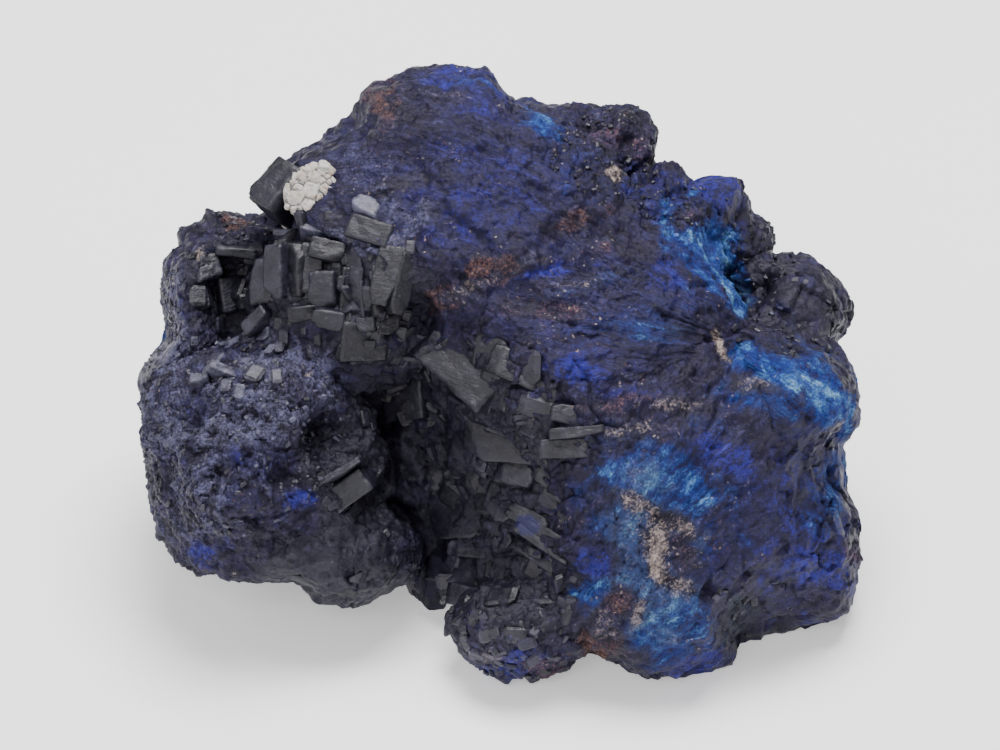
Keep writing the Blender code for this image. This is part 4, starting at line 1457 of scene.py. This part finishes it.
class Nodes:
    """A material under construction. Its short calls add nodes and hand back their output sockets."""

    def __init__(self, name: str) -> None:
        """Starts a material that has only its shader."""
        self.material = bpy.data.materials.new(name)
        self.material.use_nodes = True
        self.tree = self.material.node_tree
        self.shader = self.tree.nodes["Principled BSDF"]
        self.place = self.put("ShaderNodeTexCoord").outputs["Object"]

    def put(
        self, kind: str, values: dict[str | int, object] | None = None, **settings: object
    ) -> bpy.types.Node:
        """Adds a node.

        Args:
            kind: Blender's name for it.
            values: what goes into its inputs: sockets are linked, anything else is set.
            settings: its own settings.

        Returns:
            The node.
        """
        node = self.tree.nodes.new(kind)
        for setting, value in settings.items():
            setattr(node, setting, value)
        for slot, value in (values or {}).items():
            if isinstance(value, Socket):
                self.tree.links.new(value, node.inputs[slot])
            else:
                node.inputs[slot].default_value = value
        return node

    def attribute(self, name: str) -> Socket:
        """What each corner holds under a name, as a vector."""
        return self.put("ShaderNodeAttribute", attribute_name=name).outputs["Vector"]

    def single(self, name: str) -> Socket:
        """What each corner holds under a name, as one value."""
        return self.put("ShaderNodeAttribute", attribute_name=name).outputs["Fac"]

    def parts(self, vector: Socket) -> tuple[Socket, Socket, Socket]:
        """The three parts of a vector."""
        split = self.put("ShaderNodeSeparateXYZ", {0: vector})
        return split.outputs[0], split.outputs[1], split.outputs[2]

    def vector(self, operation: str, first: Socket, second: Socket | Colour = (0.0,) * 3) -> Socket:
        """Blender's operation of that name on one or two vectors."""
        return self.put("ShaderNodeVectorMath", {0: first, 1: second}, operation=operation).outputs[0]

    def value(self, operation: str, first: Socket | float, second: Socket | float = 0.0) -> Socket:
        """Blender's operation of that name on one or two values."""
        return self.put("ShaderNodeMath", {0: first, 1: second}, operation=operation).outputs[0]

    def scaled(self, vector: Socket, scale: tuple[float, float, float]) -> Socket:
        """A vector times a scale for each part."""
        return self.vector("MULTIPLY", vector, scale)

    def noise(self, place: Socket, wave: float, detail: float = 4.0, roughness: float = 0.6) -> Socket:
        """Fractal noise from 0 to 1 whose longest wave is given in the place's own unit."""
        values = {"Vector": place, "Scale": 1 / wave, "Detail": detail, "Roughness": roughness}
        return self.put("ShaderNodeTexNoise", values).outputs["Fac"]

    def cells(self, place: Socket, size: float, feature: str = "F1") -> bpy.types.Node:
        """Scattered cells of a size in the place's own unit."""
        return self.put("ShaderNodeTexVoronoi", {"Vector": place, "Scale": 1 / size}, feature=feature)

    def warped(self, place: Socket, wave: float, reach: float) -> Socket:
        """Places moved about by noise of a wave and a reach, both in the place's own unit."""
        values = {"Vector": place, "Scale": 1 / wave, "Detail": 3.0, "Roughness": 0.6}
        way = self.put("ShaderNodeTexNoise", values).outputs["Color"]
        moved = self.scaled(self.vector("SUBTRACT", way, (0.5,) * 3), (2 * reach,) * 3)
        return self.vector("ADD", place, moved)

    def sum(self, first: Socket | float, second: Socket | float) -> Socket:
        """Adds two values."""
        return self.value("ADD", first, second)

    def product(self, first: Socket | float, second: Socket | float) -> Socket:
        """Multiplies two values."""
        return self.value("MULTIPLY", first, second)

    def most(self, first: Socket, second: Socket) -> Socket:
        """The larger of two values."""
        return self.value("MAXIMUM", first, second)

    def blend(self, *parts: tuple[Socket, float]) -> Socket:
        """Adds up values, each times its own share."""
        return reduce(self.sum, [self.product(*part) for part in parts])

    def swing(self, value: Socket, reach: float) -> Socket:
        """How far a value is over or under a half, times the reach."""
        return self.product(self.sum(value, -0.5), reach)

    def eased(self, value: Socket, low: float, high: float, least: float = 0.0, most: float = 1.0) -> Socket:
        """Eases from least to most while the value goes from low to high."""
        values = {"Value": value, "From Min": low, "From Max": high, "To Min": least, "To Max": most}
        return self.put("ShaderNodeMapRange", values, interpolation_type="SMOOTHSTEP").outputs["Result"]

    def mixed(self, share: Socket | float, first: Socket | Colour, second: Socket | Colour) -> Socket:
        """Goes from the first colour to the second as the share goes from 0 to 1."""
        values = {0: share}
        for slot, colour in ((6, first), (7, second)):
            values[slot] = colour if isinstance(colour, Socket) else (*colour, 1.0)
        return self.put("ShaderNodeMix", values, data_type="RGBA").outputs[2]

    def between(self, share: Socket | float, first: Socket | float, second: Socket | float) -> Socket:
        """Goes from the first value to the second as the share goes from 0 to 1."""
        return self.put("ShaderNodeMix", {0: share, 2: first, 3: second}).outputs[0]

    def bumped(self, height: Socket, depth: float, normal: Socket | None = None) -> Socket:
        """The surface's direction, tipped by a height of the given depth in millimetres."""
        values = {"Height": height, "Distance": depth * MM, "Strength": 1.0}
        if normal is not None:
            values["Normal"] = normal
        return self.put("ShaderNodeBump", values).outputs["Normal"]

    def faceted(self, cells: bpy.types.Node, tilt: Socket | float, normal: Socket | None = None) -> Socket:
        """The surface's direction, tipped its own way in each cell.

        Args:
            cells: the cells, whose random colours say which way.
            tilt: how far.
            normal: the direction to start from, or none for the surface's own.

        Returns:
            A direction of length one.
        """
        start = normal or self.put("ShaderNodeNewGeometry").outputs["Normal"]
        way = self.vector("SUBTRACT", cells.outputs["Color"], (0.5,) * 3)
        tip = self.put("ShaderNodeVectorMath", {0: way, "Scale": tilt}, operation="SCALE").outputs[0]
        return self.vector("NORMALIZE", self.vector("ADD", start, tip))

    def finished(self, **values: object) -> bpy.types.Material:
        """Sets the shader's inputs, underscores standing for spaces, and hands back the material."""
        for slot, value in values.items():
            socket = self.shader.inputs[slot.replace("_", " ").title().replace("Ior", "IOR")]
            if isinstance(value, Socket):
                self.tree.links.new(value, socket)
            else:
                socket.default_value = value
        return self.material


@dataclass(frozen=True)
class StoneFinish:
    """Azurite from near-black crystal to powdery blue, with its stains and painted light and shade."""

    jet: Colour = (0.0095, 0.0085, 0.0165)
    black: Colour = (0.0025, 0.002, 0.0088)
    slate: Colour = (0.0168, 0.0143, 0.04)
    graphite: Colour = (0.017, 0.0162, 0.023)
    indigo: Colour = (0.0042, 0.0036, 0.03)
    violet: Colour = (0.021, 0.0163, 0.1)
    ultramarine: Colour = (0.014, 0.016, 0.23)
    frost: Colour = (0.115, 0.115, 0.2)
    azure_low: Colour = (0.0035, 0.014, 0.14)
    azure: Colour = (0.011, 0.053, 0.235)
    azure_high: Colour = (0.085, 0.22, 0.4)
    azure_pale: Colour = (0.3, 0.46, 0.56)
    azure_dull: Colour = (0.06, 0.085, 0.15)
    green: Colour = (0.01, 0.03, 0.026)
    rust_low: Colour = (0.03, 0.016, 0.014)
    rust: Colour = (0.22, 0.105, 0.062)
    cream_low: Colour = (0.1, 0.068, 0.058)
    cream: Colour = (0.5, 0.4, 0.34)
    ior: float = 1.73
    specular: float = 0.2
    glint: Colour = (0.86, 0.82, 1.0)

    def material(self) -> bpy.types.Material:
        """Builds the finish.

        Each mineral shows where its share at the corners, roughened by noise that runs along the
        wandering fibres, passes a threshold. Glossy minerals are broken into small tipped facets,
        powdery ones get a fine grain. Shade is painted into hollows, pits and the gaps between
        grains, and light onto the crests of the relief noise, on random plates and as sparkle.

        Returns:
            The material.
        """
        n = Nodes("azurite skin")
        flow = n.warped(n.attribute("flow"), 5.0, 1.5)
        place = n.warped(n.place, 1.6 * MM, 0.7 * MM)
        royal, azure, green = n.parts(n.attribute("minerals_a"))
        rust, cream, glass = n.parts(n.attribute("minerals_b"))
        fibres, druse, facets = n.parts(n.attribute("textures"))
        low = n.single("low")
        frost = n.single("frost")
        threads = n.noise(n.scaled(flow, (1 / 0.26, 1 / 3.6, 1 / 1.2)), 1.0, 6.0, 0.64)
        bundles = n.noise(n.scaled(flow, (1 / 1.1, 1 / 7.0, 1 / 3.0)), 1.0, 5.0, 0.62)
        mottle = n.noise(place, 1.3 * MM, 8.0, 0.72)
        patches = n.between(n.product(fibres, 0.75), n.noise(n.place, 2.4 * MM, 6.0, 0.66), bundles)
        clouds = n.noise(n.place, 6.5 * MM, 5.0, 0.62)
        grain = n.noise(n.place, 0.24 * MM, 5.0, 0.66)
        rough = n.between(n.product(fibres, 0.75), mottle, threads)
        # light on the crests of the rough noise, which is also the bump, and dark in its creases: painted
        # shading of the relief, with fine grain
        dust_and_relief_shading = n.blend((rough, 0.6), (grain, 0.4))
        broken = n.blend((rough, 0.42), (patches, 0.36), (grain, 0.22))
        # tone: mostly the painted relief shading, with random patches; the ground and the blue go from dark
        # to light by it
        tone = n.blend((dust_and_relief_shading, 0.7), (patches, 0.3))
        chips = n.cells(place, 0.34 * MM)
        speck_cells = n.cells(place, 0.21 * MM)
        chance, other, _ = n.parts(speck_cells.outputs["Color"])
        plain = n.eased(n.sum(glass, facets), 0.2, 0.9, 1.0, 0.2)
        smooth_share = n.eased(n.sum(glass, n.product(facets, 0.8)), 0.35, 0.85)
        slabs = n.scaled(n.warped(n.place, 5 * MM, 1.1 * MM), (0.6, 1.0, 1.0))
        plates = n.cells(slabs, 2.1 * MM)
        seam = n.cells(slabs, 2.1 * MM, "DISTANCE_TO_EDGE").outputs["Distance"]
        seams = n.product(n.eased(n.sum(seam, n.swing(mottle, 0.12)), 0.0, 0.06, 1.0, 0.0), smooth_share)
        plate_chance, _, _ = n.parts(plates.outputs["Color"])

        def shows(share: Socket, low_end: float, high_end: float, spread: float = 2.6) -> Socket:
            """How much of a mineral there is after its share is roughened."""
            return n.eased(n.sum(share, n.swing(broken, spread)), low_end, high_end)

        darkest = n.mixed(glass, self.black, self.jet)
        lightest = n.mixed(glass, self.slate, self.graphite)
        ground = n.mixed(n.eased(tone, 0.43, 0.62), darkest, lightest)
        blue = n.mixed(n.eased(tone, 0.42, 0.6), self.indigo, self.violet)
        # painted reflection: random plates on smooth faces are lighter grey, as facets that catch the light
        ground = n.mixed(n.product(n.product(plate_chance, smooth_share), 0.55), ground, self.graphite)
        bluish = shows(n.sum(royal, n.product(n.sum(clouds, -0.42), 1.2)), -0.15, 1.0, 3.2)
        bluish = n.product(bluish, n.eased(glass, 0.1, 0.9, 1.0, 0.08))
        colour = n.mixed(bluish, ground, blue)
        vivid = shows(n.blend((royal, 0.75), (bluish, 0.16)), 0.45, 1.0, 3.4)
        # ultramarine only on the crests of the relief noise: a painted highlight on the royal blue
        colour = n.mixed(n.product(vivid, n.eased(dust_and_relief_shading, 0.4, 0.56)), colour, self.ultramarine)
        # painted highlight: frost colour on the crests of the rough noise, on plain skin
        crest_highlight = n.product(n.eased(n.blend((rough, 0.8), (grain, 0.2)), 0.54, 0.68), n.product(plain, 0.55))
        ends = n.eased(n.blend((grain, 0.6), (mottle, 0.4)), 0.4, 0.62)
        bloom = n.product(shows(frost, 0.3, 1.0, 3.0), ends)
        # frost colour: painted highlight on the crests, and the real bloom of tiny crystal ends
        colour = n.mixed(n.most(crest_highlight, bloom), colour, self.frost)
        azured = shows(azure, 0.05, 1.05, 2.1)
        # azure is paler partly on the crests of the rough noise, a painted highlight, and partly in random
        # patches and grain
        light = n.blend((grain, 0.25), (rough, 0.3), (patches, 0.45))
        level = n.sum(light, n.product(n.sum(azured, -1.0), 0.14))
        level = n.sum(n.sum(level, n.swing(bundles, 0.25)), n.product(cream, 0.1))
        powder = self.indigo
        for low_end, high_end, most, step in (
            (0.3, 0.44, 1.0, self.azure_low), (0.4, 0.54, 1.0, self.azure), (0.48, 0.6, 0.9, self.azure_high),
            (0.55, 0.66, 0.8, self.azure_pale),
        ):
            powder = n.mixed(n.product(n.eased(level, low_end, high_end), most), powder, step)
        powder = n.mixed(n.eased(cream, 0.0, 0.24, 0.0, 0.5), powder, self.azure_dull)
        colour = n.mixed(azured, colour, powder)
        colour = n.mixed(n.product(shows(green, 0.3, 0.9), 0.8), colour, self.green)
        stain = n.mixed(n.eased(grain, 0.42, 0.6), self.rust_low, self.rust)
        fleck = n.noise(n.place, 0.5 * MM, 6.0, 0.72)
        speckled = n.eased(n.sum(clouds, n.product(plain, 0.2)), 0.64, 0.82)
        speckle = n.product(n.eased(fleck, 0.58, 0.68), speckled)
        rusty = n.most(shows(n.product(rust, 0.85), 0.4, 1.0, 3.2), n.product(speckle, 0.8))
        colour = n.mixed(n.product(rusty, 0.85), colour, stain)
        # cream paler on the crests of the relief noise and darker in its creases: painted shading
        clay = n.mixed(n.eased(dust_and_relief_shading, 0.38, 0.56), self.cream_low, self.cream)
        bent = n.noise(n.warped(n.place, 2.4 * MM, 1.2 * MM), 2.0 * MM, 6.0, 0.68)
        veins = n.eased(n.value("ABSOLUTE", n.sum(bent, -0.5)), 0.0, 0.03, 1.0, 0.0)
        veins = n.product(veins, n.eased(n.sum(cream, n.product(azure, 0.3)), 0.25, 0.8))
        veins = n.product(veins, n.eased(dust_and_relief_shading, 0.42, 0.54))
        creamed = n.product(shows(n.product(cream, 0.8), 0.4, 1.05, 3.2), 0.9)
        creamy = n.most(creamed, n.product(veins, 0.8))
        colour = n.mixed(creamy, colour, clay)
        # painted sparkle: rare tiny dots in frost or cream colour, on plain skin
        sparkles = n.product(n.product(n.eased(chance, 0.965, 0.995), plain), n.eased(clouds, 0.48, 0.6))
        sparkle_colour = n.mixed(n.eased(other, 0.3, 0.7), self.frost, self.cream)
        colour = n.mixed(n.product(sparkles, 0.5), colour, sparkle_colour)
        # painted shade: random dark specks standing for the gaps between grains
        gap_shade = n.product(n.eased(chance, 0.2, 0.03), 0.4)
        # mixed towards black: the dark specks, the seams between plates, and painted shade in the hollows and
        # pits
        for share in (gap_shade, n.product(seams, 0.75), n.eased(low, 0.55, 1.0, 0.0, 0.7)):
            colour = n.mixed(share, colour, self.black)
        matt = n.eased(n.sum(n.sum(azured, rusty), creamy), 0.0, 1.0)
        glossy = n.eased(mottle, 0.35, 0.65, 0.32, 0.55)
        duller = n.eased(mottle, 0.35, 0.65, 0.45, 0.68)
        gloss = n.between(matt, n.between(bluish, glossy, duller), 0.85)
        tilt = n.between(matt, n.between(druse, 0.34, 0.7), 0.22)
        tilt = n.product(tilt, n.eased(facets, 0.2, 0.8, 1.0, 0.5))
        normal = n.faceted(plates, n.product(smooth_share, 0.5))
        normal = n.faceted(chips, tilt, normal)
        normal = n.bumped(n.product(rough, n.eased(smooth_share, 0.0, 1.0, 1.0, 0.45)), 0.42, normal)
        normal = n.bumped(grain, 0.09, normal)
        return n.finished(
            base_color=colour, roughness=gloss, normal=normal, ior=self.ior, specular_ior_level=self.specular,
            specular_tint=(*self.glint, 1.0),
        )


@dataclass(frozen=True)
class CrystalFinish:
    """Near-black crystal faces with growth lines, chips, a little dust and painted shade."""

    jet: Colour = (0.0035, 0.0031, 0.0075)
    black: Colour = (0.0085, 0.0078, 0.0165)
    slate: Colour = (0.022, 0.0205, 0.037)
    bloom: Colour = (0.13, 0.13, 0.2)
    indigo: Colour = (0.01, 0.0105, 0.085)
    dust_and_relief_shading: Colour = (0.1, 0.098, 0.14)
    rust: Colour = (0.12, 0.05, 0.035)
    azure: Colour = (0.008, 0.06, 0.28)
    ior: float = 1.73
    specular: float = 0.28

    def material(self) -> bpy.types.Material:
        """Builds the finish: dark faces, painted shade, blue patches, fine lines and a broken film of dust.
        """
        n = Nodes("azurite crystals")
        royal, azure, _ = n.parts(n.attribute("minerals_a"))
        rust, _, _ = n.parts(n.attribute("minerals_b"))
        frost = n.single("frost")
        patches = n.noise(n.place, 3.0 * MM, 4.0, 0.6)
        mottle = n.noise(n.warped(n.place, 1.6 * MM, 0.7 * MM), 1.3 * MM, 8.0, 0.7)
        grain = n.noise(n.place, 0.2 * MM, 4.0, 0.6)
        lines = n.noise(n.scaled(n.place, (1 / MM, 1 / MM, 6 / MM)), 1.0, 4.0, 0.6)
        mixed = n.blend((mottle, 0.65), (grain, 0.35))
        tone = n.blend((patches, 0.6), (mixed, 0.4))
        colour = n.mixed(n.eased(tone, 0.42, 0.58), self.black, self.slate)
        colour = n.mixed(n.eased(n.sum(n.product(royal, 0.45), mixed), 0.6, 0.85), colour, self.indigo)
        colour = n.mixed(n.eased(n.sum(n.product(azure, 0.6), mixed), 0.75, 0.95), colour, self.azure)
        # towards jet by low: painted shade on blocks turned from the light, random darker druse crystals
        colour = n.mixed(n.product(n.single("low"), 0.8), colour, self.jet)
        dusty = n.eased(n.sum(frost, n.swing(mixed, 3.0)), 0.45, 1.6)
        colour = n.mixed(dusty, colour, self.bloom)
        film = n.product(n.eased(n.noise(n.place, 0.7 * MM, 6.0, 0.7), 0.58, 0.7), 0.4)
        colour = n.mixed(film, colour, self.dust_and_relief_shading)
        colour = n.mixed(n.eased(n.sum(n.product(rust, 0.5), mixed), 0.78, 0.95), colour, self.rust)
        gloss = n.between(film, n.eased(mottle, 0.3, 0.7, 0.26, 0.48), 0.7)
        normal = n.faceted(n.cells(n.place, 0.9 * MM), 0.16)
        normal = n.bumped(lines, 0.08, normal)
        normal = n.bumped(mixed, 0.14, normal)
        return n.finished(
            base_color=colour, roughness=gloss, normal=normal, ior=self.ior, specular_ior_level=self.specular
        )


@dataclass(frozen=True)
class CrustFinish:
    """Pale crust with grey cracks and a few stains."""

    pale: Colour = (0.5, 0.48, 0.45)
    warm: Colour = (0.4, 0.33, 0.27)
    grey: Colour = (0.09, 0.085, 0.1)

    def material(self) -> bpy.types.Material:
        """Builds the finish: pale, warmer in patches, grey in the cracks and grainy all over."""
        n = Nodes("pale crust")
        low = n.single("low")
        mottle = n.noise(n.place, 0.9 * MM, 7.0, 0.68)
        grain = n.noise(n.place, 0.16 * MM, 4.0, 0.6)
        colour = n.mixed(n.eased(mottle, 0.45, 0.62), self.pale, self.warm)
        cracked = n.eased(n.sum(low, n.swing(mottle, 1.6)), 0.45, 0.9)
        colour = n.mixed(cracked, colour, self.grey)
        colour = n.mixed(n.eased(n.noise(n.place, 0.6 * MM, 5.0, 0.7), 0.58, 0.7), colour, self.grey)
        normal = n.bumped(n.blend((mottle, 0.6), (grain, 0.4)), 0.3)
        return n.finished(base_color=colour, roughness=n.eased(grain, 0.3, 0.7, 0.65, 0.9), normal=normal)


# ---------------------------------------------------------------- the studio


@dataclass(frozen=True)
class Light:
    """A soft light, placed in the display frame and aimed at its centre."""

    name: str
    toward: tuple[float, float, float]
    distance: float  # millimetres
    size: float  # millimetres
    power: float  # watts
    colour: Colour = (1.0, 1.0, 1.0)


@dataclass(frozen=True)
class Studio:
    """A pale floor under the stone, soft lights and the camera."""

    stance: Stance = field(default_factory=Stance)
    floor_half: float = 3000.0
    floor_gap: float = 0.02  # under the stone
    floor_wave: float = 90.0
    floor_roughness: float = 0.75
    floor_pale: Colour = (0.93, 0.93, 0.94)
    floor_dim: Colour = (0.9, 0.9, 0.91)
    floor_glow: float = 0.5
    world: Colour = (1.0, 1.0, 1.0)
    world_strength: float = 0.5
    lights: tuple[Light, ...] = (
        Light("key", (0.08, 0.88, 0.42), 420, 260, 3.6),
        Light("fill", (-0.8, 0.25, 0.5), 500, 360, 0.5),
        Light("front", (-0.25, 0.1, 1.0), 700, 240, 1.3),
    )
    camera_distance: float = 1111.0
    camera_sight: float = 10.0  # metres
    focal_length: float = 400.0

    def floor(self) -> bpy.types.Object:
        """Makes the floor."""
        far = self.floor_half * MM
        corners = [(-far, -far), (far, -far), (far, far), (-far, far)]
        mesh = bpy.data.meshes.new("floor")
        mesh.from_pydata([(x, y, -self.floor_gap * MM) for x, y in corners], [], [(0, 1, 2, 3)])
        n = Nodes("floor")
        patches = n.eased(n.noise(n.place, self.floor_wave * MM, 3.0, 0.5), 0.3, 0.7)
        tone = n.mixed(patches, self.floor_pale, self.floor_dim)
        finish = n.finished(
            base_color=tone, roughness=self.floor_roughness,
            emission_color=tone, emission_strength=self.floor_glow,
        )
        mesh.materials.append(finish)
        made = bpy.data.objects.new("floor", mesh)
        bpy.context.scene.collection.objects.link(made)
        return made

    def aimed(self, made: bpy.types.Object, place: Array, target: Array) -> None:
        """Puts a light or camera at a place, looking at a target with its top upwards."""
        back = unit(place - target)
        right = unit(np.cross((0, 0, 1), back))
        rows = np.stack((right, np.cross(back, right), back, place), 1)
        made.matrix_world = Matrix(np.vstack((rows, (0, 0, 0, 1))))
        bpy.context.scene.collection.objects.link(made)

    def set_up(self) -> None:
        """Adds the floor, the world, the lights and the camera."""
        self.floor()
        world = bpy.data.worlds.new("pale surroundings")
        world.use_nodes = True
        sky = world.node_tree.nodes["Background"]
        sky.inputs["Color"].default_value = (*self.world, 1.0)
        sky.inputs["Strength"].default_value = self.world_strength
        bpy.context.scene.world = world
        target = self.stance.stand(np.zeros((1, 3)))[0]
        for light in self.lights:
            data = bpy.data.lights.new(light.name, "AREA")
            data.energy = light.power
            data.size = light.size * MM
            data.color = light.colour
            made = bpy.data.objects.new(light.name, data)
            place = self.stance.stand(unit(light.toward)[None] * light.distance)[0]
            self.aimed(made, place, target)
        data = bpy.data.cameras.new("camera")
        data.lens = self.focal_length
        data.clip_end = self.camera_sight
        made = bpy.data.objects.new("camera", data)
        place = self.stance.stand(np.array([[0, 0, self.camera_distance]]))[0]
        self.aimed(made, place, target)
        bpy.context.scene.camera = made


# ---------------------------------------------------------------- the whole


def main() -> None:
    """Grows the stone, sets its crystals and crust on it and puts it in the studio."""
    form = Form()
    growth = Growth(form)
    bench = Bench(form.stance)
    skin = StoneFinish().material()
    crystal = CrystalFinish().material()
    surfaces = [growth.surface(lobe) for lobe in form.lobes]
    for surface in surfaces:
        bench.piece(surface.lobe.name, Blank.of(surface), skin)
    for name, group, seed in (
        ("prisms", PRISMS, 500), ("recess_crystals", RECESS_CRYSTALS, 520), ("ledges", LEDGES, 540),
        ("fan_blades", FAN_BLADES, 570),
    ):
        blanks = [block.blank(form, seed + number) for number, block in enumerate(group)]
        bench.piece(name, joined(blanks), crystal)
    for druse in DRUSES:
        bench.piece(druse.name, druse.blank(surfaces), crystal, rounded=False)
    bench.piece("pale_crust", Crust().blank(form), CrustFinish().material())
    Studio(form.stance).set_up()


if __name__ == "__main__":
    logging.basicConfig(level=logging.INFO, format="%(message)s")
    main()
